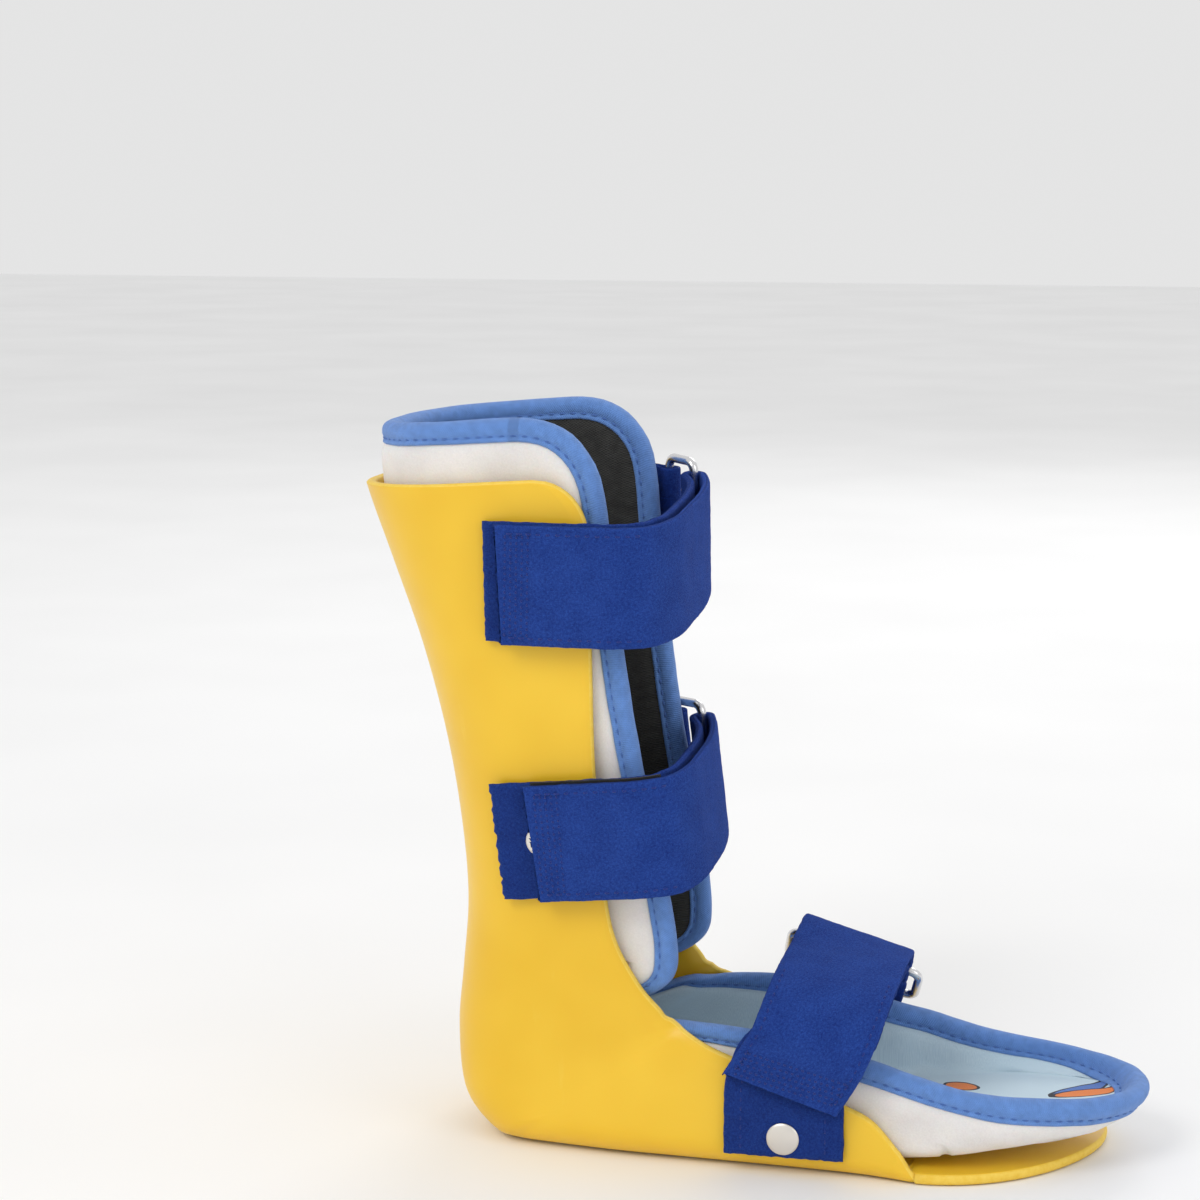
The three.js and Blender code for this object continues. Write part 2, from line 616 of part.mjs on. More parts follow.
add('calf_pad_foam', padLayer(calfPadRibs, FOAM_OUTSIDE, FOAM_THICKNESS), WHITE_FOAM);
add('calf_pad_lining', padLayer(calfPadRibs, LINING_OUTSIDE, LINING_THICKNESS), DARK_LINING);
add('calf_pad_binding', padBinding(calfPadRibs), BLUE_BINDING);
add('foot_pad_foam', padLayer(footPadRibs, FOAM_OUTSIDE, FOAM_THICKNESS), WHITE_FOAM);
add('foot_pad_lining', padLayer(footPadRibs, LINING_OUTSIDE, LINING_THICKNESS), PALE_LINING);
add('foot_pad_binding', padBinding(footPadRibs), BLUE_BINDING);
add('calf_pad_upper_tape', tapePatch(1.7, 3.2, [5, 12]), BLACK_HOOK);
add('calf_pad_lower_tape', tapePatch(4.6, 6.2, [5, 12]), BLACK_HOOK);
add('foot_pad_tape', tapePatch(12.4, 15.2, [5, 12]), BLACK_HOOK);

export default orthosis;
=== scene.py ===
import math
from types import SimpleNamespace

import bmesh
import bpy
import numpy as np
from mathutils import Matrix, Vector, noise


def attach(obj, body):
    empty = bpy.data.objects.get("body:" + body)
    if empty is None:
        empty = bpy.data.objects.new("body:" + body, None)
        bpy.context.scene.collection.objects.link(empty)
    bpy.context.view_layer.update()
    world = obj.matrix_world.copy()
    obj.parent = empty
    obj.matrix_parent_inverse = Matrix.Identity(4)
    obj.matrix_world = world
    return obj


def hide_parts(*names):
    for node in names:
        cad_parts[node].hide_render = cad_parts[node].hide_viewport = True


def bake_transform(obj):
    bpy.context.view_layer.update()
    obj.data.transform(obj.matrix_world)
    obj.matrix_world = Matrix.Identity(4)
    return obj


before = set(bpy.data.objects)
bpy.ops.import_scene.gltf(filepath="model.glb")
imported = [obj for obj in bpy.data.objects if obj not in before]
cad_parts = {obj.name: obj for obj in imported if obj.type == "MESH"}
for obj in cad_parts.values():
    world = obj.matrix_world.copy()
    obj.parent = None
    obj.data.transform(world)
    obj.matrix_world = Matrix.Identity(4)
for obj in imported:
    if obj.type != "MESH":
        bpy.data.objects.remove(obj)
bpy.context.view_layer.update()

# Lengths below are millimetres in the row frame, and become metres in piece().
SHELL_THICKNESS = 3.2
PAD_MIDDLE = 8.2
RIM_INSET = 3.2  # from a pad's rim to the middle of its binding
STRAP_WIDTH = 38.0
STRAP_THICKNESS = 2.4
WIRE_RADIUS = 1.5
CLEARANCE = 0.3


# ---- the last ----
def calf_rib(x, z, lean, reach):
    half = 36.5 + 0.07 * (z - 78)
    return (x, z, lean, reach, half, 0.8 * half, 0)


RIBS = np.array([
    calf_rib(-63.5, 243, 5, 86), calf_rib(-56, 213.7, 4, 80.2), calf_rib(-47, 188, 2.5, 71.2),
    calf_rib(-37.5, 160.5, 1, 62), calf_rib(-30, 131, 0, 54.8), calf_rib(-25.5, 103, 0, 52),
    (-23.7, 78, -3, 53.5, 36.5, 29, 0), (-25.2, 55, 3, 63, 35.5, 27, 0),
    (-26.4, 35, 11, 73, 34.5, 24, 0), (-23.4, 14, 23, 77, 34, 20, 0),
    (-12.5, 2.2, 33, 74.5, 34.5, 16, 0), (-1, 0, 38, 67.5, 36, 13, 0.5),
    (28, 0, 47.5, 50, 38.8, 11, 1.5), (55, 0, 57, 40, 40, 10, 2.5),
    (78, 0, 67, 31, 40, 9, 2.5), (98, 0, 77, 24, 40, 8, 2.5),
    (112, 0, 84, 18.5, 40, 6.5, 2.5), (122, 0, 88, 9.5, 41, 5, 2.8),
], float)


def smoothstep(t):
    c = min(1.0, max(0.0, t))
    return c * c * (3 - 2 * c)


def mix(a, b, t):
    return a + (b - a) * t


def steps(a, b, n):
    return [mix(a, b, i / n) for i in range(n + 1)]


def list_value(values, u):
    def at(k):
        return values[min(len(values) - 1, max(0, k))]
    i = min(len(values) - 2, max(0, int(math.floor(u))))
    t = u - i
    m0 = (at(i + 1) - at(i - 1)) / 2
    m1 = (at(i + 2) - at(i)) / 2
    eased = t * t * (3 - 2 * t)
    return at(i) + (at(i + 1) - at(i)) * eased + t * (1 - t) ** 2 * m0 + t * t * (t - 1) * m1


def rib_at(u):
    here, ahead = list_value(RIBS, u), list_value(RIBS, u + 0.01)
    x, z, lean, reach, half, corner, shift = here
    tangent = math.atan2(ahead[1] - z, ahead[0] - x)
    cross = max(0.5, math.sin(math.radians(lean) - tangent))
    return SimpleNamespace(x=x, z=0.0 if u > 11 else z, lean=lean, reach=reach, half=half,
                           corner=corner, shift=shift, cross=cross)


def rib_points(r, inset, qs, bend=3.4):
    half = max(0.3, r.half - inset)
    corner = min(max(r.corner - inset, bend), half - 0.1)
    base = inset / r.cross
    rise = corner / r.cross
    wall = max(0.0, r.reach - base)
    arc = math.acos(1 - min(1.0, wall / rise))
    floor_length = half - corner
    corner_length = corner * arc
    straight = max(0.0, wall - rise)
    total = floor_length + corner_length + straight
    walled = smoothstep(wall / (1.5 * rise))
    floor_share = mix(floor_length / total, 3 / 8, walled)
    corner_share = mix((floor_length + corner_length) / total, 6 / 8, walled)
    lean = math.radians(r.lean)
    out = []
    for q in qs:
        s = abs(q)
        y = floor_length * min(1, s / floor_share)
        p = base
        if s > floor_share:
            turn = arc * min(1, (s - floor_share) / max(1e-6, corner_share - floor_share))
            y += corner * math.sin(turn)
            p += rise * (1 - math.cos(turn))
        if s > corner_share:
            p += straight * (s - corner_share) / (1 - corner_share)
        side = r.shift + math.copysign(y, q) * (1 if q else 0)
        out.append((r.x + p * math.cos(lean), side, r.z + p * math.sin(lean)))
    return out


def rounded_corner(below, radius):
    radius = max(0.01, radius)
    rest = min(radius, max(0.0, radius - below))
    return radius - math.sqrt(radius * radius - rest * rest)


# ---- meshes ----
def piece(name, points, faces, material, uv=None, flat_angle=None, parts=None, merge=0.0):
    mesh = bpy.data.meshes.new(name)
    mesh.from_pydata([tuple(c * 0.001 for c in p) for p in points], [], faces)
    for m in material if isinstance(material, (list, tuple)) else [material]:
        mesh.materials.append(m)
    if parts is not None:
        mesh.polygons.foreach_set("material_index", parts)
    if uv is not None:
        layer = mesh.uv_layers.new(name="UVMap")
        index = np.empty(len(mesh.loops), int)
        mesh.loops.foreach_get("vertex_index", index)
        layer.data.foreach_set("uv", (np.array(uv, float)[index] * 0.1).ravel())
    bm = bmesh.new()
    bm.from_mesh(mesh)
    if merge:
        bmesh.ops.remove_doubles(bm, verts=bm.verts, dist=merge * 0.001)
    bmesh.ops.dissolve_degenerate(bm, edges=bm.edges, dist=1e-7)
    bmesh.ops.recalc_face_normals(bm, faces=bm.faces)
    bm.to_mesh(mesh)
    bm.free()
    obj = bpy.data.objects.new(name, mesh)
    bpy.context.collection.objects.link(obj)
    if flat_angle is None:
        mesh.shade_smooth()
    else:
        mesh.shade_smooth()
        mesh.set_sharp_from_angle(angle=math.radians(flat_angle))
    return obj


def grid_faces(rows, cols, at, closed_rows=False, closed_cols=False):
    faces = []
    for i in range(rows if closed_rows else rows - 1):
        for j in range(cols if closed_cols else cols - 1):
            a, b = i, (i + 1) % rows
            c, d = j, (j + 1) % cols
            faces.append((at(a, c), at(b, c), at(b, d), at(a, d)))
    return faces


def loop_indices(rows, cols):
    near = [i * cols for i in range(rows)]
    end = [(rows - 1) * cols + j for j in range(1, cols - 1)]
    far = [i * cols + cols - 1 for i in range(rows - 1, -1, -1)]
    start = [j for j in range(cols - 2, 0, -1)]
    return near + end + far + start


def lengths_along(line):
    return np.concatenate([[0], np.cumsum(np.linalg.norm(np.diff(line, axis=0), axis=1))])


def noise3(p, scale, seed=0.0):
    return noise.noise(Vector((p[0] * scale + seed, p[1] * scale - seed, p[2] * scale + 2 * seed)))


# ---- materials ----
def nodes_of(name, color, roughness, metallic=0.0, **sockets):
    m = bpy.data.materials.new(name)
    m.use_nodes = True
    tree = m.node_tree
    shader = tree.nodes["Principled BSDF"]
    shader.inputs["Base Color"].default_value = (*color, 1)
    shader.inputs["Roughness"].default_value = roughness
    shader.inputs["Metallic"].default_value = metallic
    for key, value in sockets.items():
        shader.inputs[key.replace("_", " ")].default_value = value
    return m, tree, shader


def node(tree, kind, **inputs):
    n = tree.nodes.new(kind)
    for key, value in inputs.items():
        n.inputs[key.replace("_", " ")].default_value = value
    return n


def noise_node(tree, coords, scale, detail=3.0, roughness=0.55, stretch=None):
    n = node(tree, "ShaderNodeTexNoise", Scale=scale, Detail=detail, Roughness=roughness)
    source = coords
    if stretch:
        mapping = node(tree, "ShaderNodeMapping", Scale=stretch)
        tree.links.new(coords, mapping.inputs["Vector"])
        source = mapping.outputs["Vector"]
    tree.links.new(source, n.inputs["Vector"])
    return n.outputs["Fac"]


def ramp(tree, fac, stops):
    n = tree.nodes.new("ShaderNodeValToRGB")
    while len(n.color_ramp.elements) < len(stops):
        n.color_ramp.elements.new(0.5)
    for e, (place, color) in zip(n.color_ramp.elements, stops):
        e.position = place
        e.color = (*color, 1)
    tree.links.new(fac, n.inputs["Fac"])
    return n.outputs["Color"]


def mixed(tree, a, b, fac, mode="MIX"):
    n = tree.nodes.new("ShaderNodeMix")
    n.data_type = "RGBA"
    n.blend_type = mode
    for socket, value in ((n.inputs[0], fac), (n.inputs[6], a), (n.inputs[7], b)):
        if isinstance(value, (int, float)):
            socket.default_value = value
        elif isinstance(value, tuple):
            socket.default_value = (*value, 1)
        else:
            tree.links.new(value, socket)
    return n.outputs[2]


def maths(tree, op, a, b=None, c=None):
    n = tree.nodes.new("ShaderNodeMath")
    n.operation = op
    for socket, value in zip(n.inputs, (a, b, c)):
        if value is None:
            continue
        if isinstance(value, (int, float)):
            socket.default_value = value
        else:
            tree.links.new(value, socket)
    return n.outputs[0]


def product(tree, a, b):
    return maths(tree, "MULTIPLY", a, b)


def added(tree, a, b):
    return maths(tree, "ADD", a, b)


def bump(tree, shader, height, strength, distance):
    n = node(tree, "ShaderNodeBump", Strength=strength, Distance=distance)
    tree.links.new(height, n.inputs["Height"])
    tree.links.new(n.outputs["Normal"], shader.inputs["Normal"])


def uv_of(tree):
    return tree.nodes.new("ShaderNodeTexCoord").outputs["UV"]


def object_of(tree):
    return tree.nodes.new("ShaderNodeTexCoord").outputs["Object"]


def srgb(r, g, b):
    def line(v):
        v /= 255
        return v / 12.92 if v <= 0.04045 else ((v + 0.055) / 1.055) ** 2.4
    return (line(r), line(g), line(b))


def make_shell_material():
    m, t, s = nodes_of("shell_plastic", srgb(240, 192, 40), 0.36, Specular_IOR_Level=0.45,
                       Subsurface_Weight=0.06, Subsurface_Scale=0.004)
    at = object_of(t)
    cloud = noise_node(t, at, 22, 2)
    fine = noise_node(t, at, 900, 2)
    tone = ramp(t, cloud, [(0.3, srgb(234, 186, 34)), (0.7, srgb(244, 199, 50))])
    scuff = noise_node(t, at, 160, 4, 0.7, (1, 1, 0.12))
    worn = ramp(t, scuff, [(0.66, (0, 0, 0)), (0.8, (1, 1, 1))])
    t.links.new(mixed(t, tone, srgb(250, 216, 96), product(t, worn, 0.25)),
                s.inputs["Base Color"])
    t.links.new(maths(t, "MULTIPLY_ADD", fine, 0.12, 0.30), s.inputs["Roughness"])
    height = added(t, product(t, cloud, 1.0), product(t, fine, 0.05))
    bump(t, s, height, 0.25, 0.0008)
    return m


# The shell's rim is painted a paler yellow than the body: a painted highlight along the edge.
def make_edge_material():
    m, t, s = nodes_of("shell_rim_painted_highlight", srgb(252, 236, 170), 0.5)
    at = object_of(t)
    fac = noise_node(t, at, 500, 3)
    t.links.new(ramp(t, fac, [(0.3, srgb(238, 196, 58)), (0.7, srgb(246, 210, 84))]),
                s.inputs["Base Color"])
    return m


def make_felt_material(name, dark, light):
    m, t, s = nodes_of(name, light, 0.95, Specular_IOR_Level=0.1, Sheen_Weight=0.22,
                       Sheen_Roughness=0.5)
    s.inputs["Sheen Tint"].default_value = (*srgb(110, 140, 220), 1)
    at = uv_of(t)
    cloud = noise_node(t, at, 1.1, 3, 0.6)
    fibre = noise_node(t, at, 26, 5, 0.8, (1, 0.45, 1))
    across = noise_node(t, at, 30, 4, 0.8, (0.4, 1, 1))
    fleck = noise_node(t, at, 11, 4, 0.75)
    hairs = maths(t, "MAXIMUM", fibre, across)
    total = added(t, product(t, cloud, 0.14),
                  added(t, product(t, hairs, 0.50), product(t, fleck, 0.36)))
    body = ramp(t, total, [(0.42, dark), (0.60, light)])
    pale = tuple(min(1.0, c * 1.9 + 0.01) for c in light)
    loose = ramp(t, hairs, [(0.60, (0, 0, 0)), (0.72, (1, 1, 1))])
    t.links.new(mixed(t, body, pale, product(t, loose, 0.42)), s.inputs["Base Color"])
    height = added(t, product(t, hairs, 0.8), product(t, fleck, 0.9))
    bump(t, s, height, 1.0, 0.0013)
    return m


def make_weave_material(name, color, rib=26.0, depth=0.0003, rough=0.85, spread=0.16):
    m, t, s = nodes_of(name, color, rough, Specular_IOR_Level=0.2, Sheen_Weight=0.2)
    at = uv_of(t)
    split = t.nodes.new("ShaderNodeSeparateXYZ")
    t.links.new(at, split.inputs[0])
    along = maths(t, "SINE", product(t, split.outputs[0], rib * 2 * math.pi))
    over = maths(t, "SINE", product(t, split.outputs[1], rib * 1.3 * math.pi))
    weave = product(t, along, over)
    cloud = noise_node(t, at, 3.0, 4, 0.6)
    low = tuple(c * (1 - spread) for c in color)
    high = tuple(min(1, c * (1 + spread)) for c in color)
    total = added(t, product(t, cloud, 0.85), product(t, weave, 0.12))
    t.links.new(ramp(t, total, [(0.25, low), (0.7, high)]), s.inputs["Base Color"])
    bump(t, s, added(t, weave, product(t, cloud, 1.5)), 0.6, depth)
    return m


def make_foam_material():
    m, t, s = nodes_of("white_foam", srgb(232, 229, 226), 0.9, Specular_IOR_Level=0.2,
                       Subsurface_Weight=0.15, Subsurface_Scale=0.004, Sheen_Weight=0.25)
    at = object_of(t)
    fine = noise_node(t, at, 1500, 3, 0.7)
    cloud = noise_node(t, at, 60, 3)
    total = added(t, product(t, fine, 0.4), product(t, cloud, 0.6))
    t.links.new(ramp(t, total, [(0.3, srgb(218, 214, 212)), (0.7, srgb(238, 235, 232))]),
                s.inputs["Base Color"])
    bump(t, s, total, 0.5, 0.0006)
    return m


def make_print_material():
    """Pale cyan cloth with plain rounded shapes: orange and blue, each with a dark outline."""
    m, t, s = nodes_of("printed_lining", srgb(200, 222, 232), 0.85, Specular_IOR_Level=0.2,
                       Sheen_Weight=0.2)
    at = uv_of(t)
    fine = noise_node(t, at, 60, 2)
    color = ramp(t, fine, [(0.3, srgb(190, 212, 224)), (0.7, srgb(212, 230, 238))])
    split = t.nodes.new("ShaderNodeSeparateXYZ")
    t.links.new(at, split.inputs[0])
    wobble = product(t, noise_node(t, at, 2.2, 1), 0.16)
    orange, blue, white = srgb(236, 132, 62), srgb(84, 120, 190), srgb(250, 250, 246)
    shapes = [(17.5, 1.35, 1.25, 0.42, 0.55, blue), (17.75, 1.0, 1.35, 0.40, 0.22, orange),
              (16.4, 0.3, 0.30, 0.12, 0.2, white), (13.6, 1.9, 0.75, 0.42, -0.5, orange),
              (12.4, -0.9, 0.6, 0.6, 0.0, white), (10.2, 1.2, 0.9, 0.45, 0.8, blue),
              (8.6, -1.1, 0.6, 0.5, 0.4, orange), (6.6, 1.0, 0.55, 0.55, 0.0, white),
              (4.6, -0.7, 0.85, 0.4, -0.3, blue), (2.4, 0.9, 0.6, 0.45, 0.6, orange)]
    for x, y, a, b, turn, ink in shapes:
        dx = maths(t, "SUBTRACT", split.outputs[0], x)
        dy = maths(t, "SUBTRACT", split.outputs[1], y)
        c, k = math.cos(turn), math.sin(turn)
        along = added(t, product(t, dx, c), product(t, dy, k))
        over = maths(t, "SUBTRACT", product(t, dy, c), product(t, dx, k))
        p, q = product(t, along, 1 / a), product(t, over, 1 / b)
        r = maths(t, "SQRT", added(t, product(t, p, p), product(t, q, q)))
        r = added(t, r, wobble)
        color = mixed(t, color, srgb(34, 36, 44), maths(t, "LESS_THAN", r, 1.0))
        color = mixed(t, color, ink, maths(t, "LESS_THAN", r, 0.84))
    t.links.new(color, s.inputs["Base Color"])
    bump(t, s, fine, 0.4, 0.0003)
    return m


def make_metal_material(name, color, rough):
    m, t, s = nodes_of(name, color, rough, 1.0)
    at = object_of(t)
    fine = noise_node(t, at, 400, 4, 0.7, (1, 1, 0.2))
    t.links.new(maths(t, "MULTIPLY_ADD", fine, 0.25, rough - 0.08), s.inputs["Roughness"])
    bump(t, s, fine, 0.12, 0.0002)
    return m


SHELL = make_shell_material()
EDGE = make_edge_material()
FELT = make_felt_material("blue_strap", srgb(24, 50, 134), srgb(50, 90, 188))
FELT_TAB = make_felt_material("blue_webbing", srgb(18, 42, 118), srgb(40, 76, 168))
THREAD = make_weave_material("strap_thread", srgb(26, 54, 142), 8, 0.0001)
BINDING = make_weave_material("blue_binding", srgb(104, 146, 214), 14, 0.00022)
BINDING_THREAD = make_weave_material("binding_thread", srgb(80, 118, 188), 8, 0.0001)
FOAM = make_foam_material()
# The calf lining is a plain dark grey, taken from how dark it looks in the shadow inside the calf wings, so
# it holds painted shade on top of the lining's own darker colour.
DARK = make_weave_material("dark_lining", srgb(58, 58, 56), 12, 0.0004, 0.95, 0.35)
PRINT = make_print_material()
HOOK = make_weave_material("hook_tape", srgb(22, 23, 27), 16, 0.0006, 0.7, 0.4)
WIRE = make_metal_material("ring_wire", (0.75, 0.75, 0.76), 0.18)
NICKEL = make_metal_material("nickel", (0.80, 0.76, 0.70), 0.34)


# ---- shell ----
def reach_changes(stations, curve, rib, inset):
    """How much each rib's reach changes so that its end lies on a smooth side-view curve."""
    xs, zs = zip(*curve)
    changes = []
    for u in stations:
        before = rib(u)
        low, high = before.reach - 9, before.reach + 9
        for _ in range(16):
            r = rib(u)
            r.reach = (low + high) / 2
            x, _, z = rib_points(r, inset, [-1])[0]
            if z < np.interp(x, xs, zs):
                low = r.reach
            else:
                high = r.reach
        changes.append((low + high) / 2 - before.reach)
    return changes


def smooth_curve(points, per=12):
    values = [np.array(p, float) for p in points]
    return [list_value(values, i / per) for i in range((len(values) - 1) * per + 1)]


SHELL_SIDE = smooth_curve([(31.5, 69.6), (36.1, 61.0), (40.6, 54.4), (45.6, 48.9), (51.2, 44.4),
                           (57.5, 40.7), (64.4, 37.6), (72.5, 34.8),
                           (80.4, 32.2), (87.6, 29.6), (94.9, 26.7)])
SHELL_STEPS = steps(8.2, 13.6, 54)
SHELL_CHANGES = reach_changes(SHELL_STEPS, SHELL_SIDE, rib_at, 0)


def shell_grid(inset, qs):
    top = rib_at(1).z
    stations = ([1, 1.02, 1.05, 1.09, 1.14, 1.2, 1.27, 1.35, 1.44, 1.54, 1.66, 1.8]
                + steps(2, 10, 60) + steps(10.12, 16.95, 50))
    rows = []
    for u in stations:
        r = rib_at(u)
        if u < 3:
            r.reach -= rounded_corner(top - r.z, 17)
        fade = smoothstep((u - 8.2) / 0.5) * smoothstep((13.6 - u) / 0.6)
        r.reach += fade * np.interp(u, SHELL_STEPS, SHELL_CHANGES)
        rows.append(rib_points(r, inset, qs, mix(3.4, 2.2, smoothstep(u - 15.5))))
    for f in (0.08, 0.2, 0.34, 0.48, 0.62, 0.75, 0.86, 0.94):
        gone = smoothstep((f - 0.45) / 0.5)
        r = SimpleNamespace(x=mix(122, 128, f), z=0.0, lean=mix(88, 90, f), reach=9.5 * (1 - f) + 0.3,
                            half=mix(41, 39.9, f) + inset * gone, corner=mix(5, 1.4, f) + inset * gone,
                            shift=mix(2.8, 3, f), cross=1.0)
        rows.append(rib_points(r, inset, qs, mix(2.2, 0.9, f)))
    for i in range(27):
        t = math.sin(math.pi / 2 * i / 26)
        open_ = max(0.0, 1 - t ** 2.1) ** (1 / 2.1)
        half = max(0.4, 39.5 * open_)
        x = mix(128, 183, t)
        rows.append([(x, 3 + 17 * t * t + half * q, inset) for q in qs])
    return rows


def shell_piece():
    cols = 72
    qs = [-1 + 2 * j / cols for j in range(cols + 1)]
    outer, inner = shell_grid(0, qs), shell_grid(SHELL_THICKNESS, qs)
    rows, width = len(outer), cols + 1
    points = [p for row in outer for p in row] + [p for row in inner for p in row]
    half = rows * width
    faces = grid_faces(rows, width, lambda i, j: i * width + j)
    faces += [tuple(k + half for k in reversed(f)) for f in faces]
    loop = loop_indices(rows, width)
    a = np.array([points[k] for k in loop])
    b = np.array([points[k + half] for k in loop])
    middle = (a + b) / 2
    along = np.roll(middle, -1, 0) - np.roll(middle, 1, 0)
    out = np.cross(along, a - b)
    out /= np.maximum(1e-9, np.linalg.norm(out, axis=1))[:, None]
    sign = np.sign(((middle - inside_of(outer)) * out).sum(1))
    out *= sign[:, None]
    rings = [loop]
    for s in (0.18, 0.5, 0.82):
        bulge = 0.7 * math.sqrt(1 - (2 * s - 1) ** 2)
        ring = mixing(a, b, s) + out * bulge
        rings.append(list(range(len(points), len(points) + len(loop))))
        points += [tuple(p) for p in ring]
    rings.append([k + half for k in loop])
    plain = len(faces)
    n = len(loop)
    for r0, r1 in zip(rings, rings[1:]):
        faces += [(r0[k], r0[(k + 1) % n], r1[(k + 1) % n], r1[k]) for k in range(n)]
    # The rim faces take the paler edge material, which is the painted highlight.
    parts = [0] * plain + [1] * (len(faces) - plain)
    return piece("shell_body", points, faces, [SHELL, EDGE], parts=parts, merge=0.01)


def mixing(a, b, t):
    return a + (b - a) * t


def inside_of(grid):
    """For each point of a grid's outline, the point two steps further in."""
    rows, cols = len(grid), len(grid[0])
    def at(i, j):
        return grid[min(rows - 3, max(2, i))][min(cols - 3, max(2, j))]
    near = [at(i, 2) for i in range(rows)]
    end = [at(rows - 3, j) for j in range(1, cols - 1)]
    far = [at(i, cols - 3) for i in range(rows - 1, -1, -1)]
    start = [at(2, j) for j in range(cols - 2, 0, -1)]
    return np.array(near + end + far + start)


shell = shell_piece()
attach(shell, "root")
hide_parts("shell")

# ---- pads ----
PAD_TOP = 233
CALF_MARGIN = [5, 4.5, 6.8, 9.8, 14.2, 18, 20, 12, 1]
CALF_END = 7.8
FOOT_MARGIN = [-6, -3, 0, 3, 10.4, 11.3, 13.5, 15, 17.4, 23.5, 26]
PAD_RIM = [34.2, 29.9, 26.4, 24, 22.4, 21.8]


def calf_number(z):
    low, high = 0.0, 7.0
    for _ in range(30):
        middle = (low + high) / 2
        if list_value(RIBS, middle)[1] > z:
            low = middle
        else:
            high = middle
    return low


CALF_Q = [-1 + 2 * j / 52 for j in range(53)]


def calf_grid(m, depth):
    top = PAD_TOP - m
    end = CALF_END - m / 14
    stations = [calf_number(top - d) for d in (0, 0.5, 1.3, 2.5, 4, 6, 8.5, 11.5, 15, 19, 24)]
    stations += steps(stations[-1] + 0.12, 6.6, 40)[1:] + steps(6.6, end, 16)[1:]
    rows = []
    for u in stations:
        r = rib_at(u)
        upright = 5 * smoothstep((r.z - 207) / 28)
        r.x += upright
        r.reach += list_value(CALF_MARGIN, u) - m - upright
        r.reach -= rounded_corner(top - r.z, 26 - m)
        r.reach -= rounded_corner((end - u) * 14, 16 - m)
        rows.append(rib_points(r, depth, CALF_Q))
    return rows


FOOT_K = 26
TOE_X = 126.0
TOE_TIP = 206.0
PAD_TOE_HALF = 45.0


def pad_floor(x):
    t = max(0.0, (x - 122) / (TOE_TIP - 122))
    return 1.2 * smoothstep((x - 105) / 15) + 8.1 * t ** 1.1, t


def toe_profile(angle, side, m, depth):
    """From the rim down the wall and along the floor to the middle, at one angle of the toe."""
    a = TOE_TIP - RIM_INSET - TOE_X
    b = PAD_TOE_HALF - RIM_INSET
    n = 2.2
    ex = a * max(0.0, math.cos(angle)) ** (2 / n)
    ey = side * b * math.sin(angle) ** (2 / n)
    rim_far = math.hypot(ex, ey)
    dx, dy = ex / rim_far, ey / rim_far
    far_t = (TOE_X + ex - 122) / (TOE_TIP - 122)
    low, _ = pad_floor(TOE_X + ex)
    height = list_value(PAD_RIM, 5 * far_t) - low
    corner0 = mix(9, 21, smoothstep(far_t * 1.1))
    arc0 = math.acos(1 - min(1.0, height / corner0))
    corner = max(3.4, corner0 - depth)
    floor_length = rim_far - corner0 * math.sin(arc0) - (corner - (corner0 - depth))
    base = depth
    wall = max(0.5, height - m - base * mix(1, 0.55, smoothstep(far_t * 1.3)))
    arc = math.acos(1 - min(1.0, wall / corner))
    straight = max(0.0, wall - corner)
    out = []
    shares = (0.30, 0.62) if straight > 0.5 else (0.0, 0.45)
    for k in range(FOOT_K + 1):
        s = k / FOOT_K
        if s < shares[0]:
            turn, up, along = arc, corner + straight * (1 - s / shares[0]), floor_length
        elif s < shares[1]:
            f = (s - shares[0]) / (shares[1] - shares[0])
            turn = arc * (1 - f)
            up, along = corner * (1 - math.cos(turn)), floor_length
        else:
            turn, up = 0.0, 0.0
            along = floor_length * (1 - (s - shares[1]) / (1 - shares[1]))
        h = along + corner * math.sin(turn)
        x = TOE_X + dx * h
        low_here, t = pad_floor(x)
        y = dy * h + 3 + 6 * max(0.0, t) ** 2
        out.append((x, y, low_here + base + up))
    return out


def foot_rib(u):
    r = rib_at(u)
    r.reach += list_value(FOOT_MARGIN, u - 8) - RIM_INSET
    r.half += 0.8 * smoothstep((u - 14.4) / 2.4)
    r.corner += 3
    r.z += 1.2 * smoothstep((u - 15.5) / 1.5)
    return r


FOOT_SIDE = smooth_curve([(30, 43.6), (40, 42.9), (50, 42.5), (59, 42.3), (68, 41.8), (77.3, 40.8),
                          (88, 39.0),
                          (98, 36.9), (107.2, 34.8), (116, 32.7), (125, 30.3), (135.4, 27.4), (147, 25.1)])
FOOT_STEPS = steps(8.7, 16.8, 60)
FOOT_CHANGES = reach_changes(FOOT_STEPS, FOOT_SIDE, foot_rib, PAD_MIDDLE)


def foot_grid(m, depth):
    start = 8.84 + 0.05 * (m - RIM_INSET)
    stations = steps(start, 10.6, 14) + steps(10.6, 16.7, 46)[1:]
    near, far = [], []
    for u in stations:
        r = foot_rib(u)
        r.reach += RIM_INSET - m + np.interp(u, FOOT_STEPS, FOOT_CHANGES)
        qs = [-1 + k / FOOT_K for k in range(FOOT_K + 1)]
        near.append(rib_points(r, depth, qs))
        far.append(rib_points(r, depth, [-q for q in qs]))
    toe = 26
    angles = [math.pi / 2 * (1 - i / toe) for i in range(toe + 1)]
    near += [toe_profile(a, -1, m, depth) for a in angles]
    far += [toe_profile(a, 1, m, depth) for a in angles[:-1]]
    return near + far[::-1]


def strip_loop(rows, cols):
    rim = [i * cols for i in range(rows)]
    last = [(rows - 1) * cols + k for k in range(1, cols - 1)]
    first = [k for k in range(cols - 1, 0, -1)]
    return rim + last + first


PADS = {
    "calf": (calf_grid, loop_indices),
    "foot": (foot_grid, strip_loop),
}


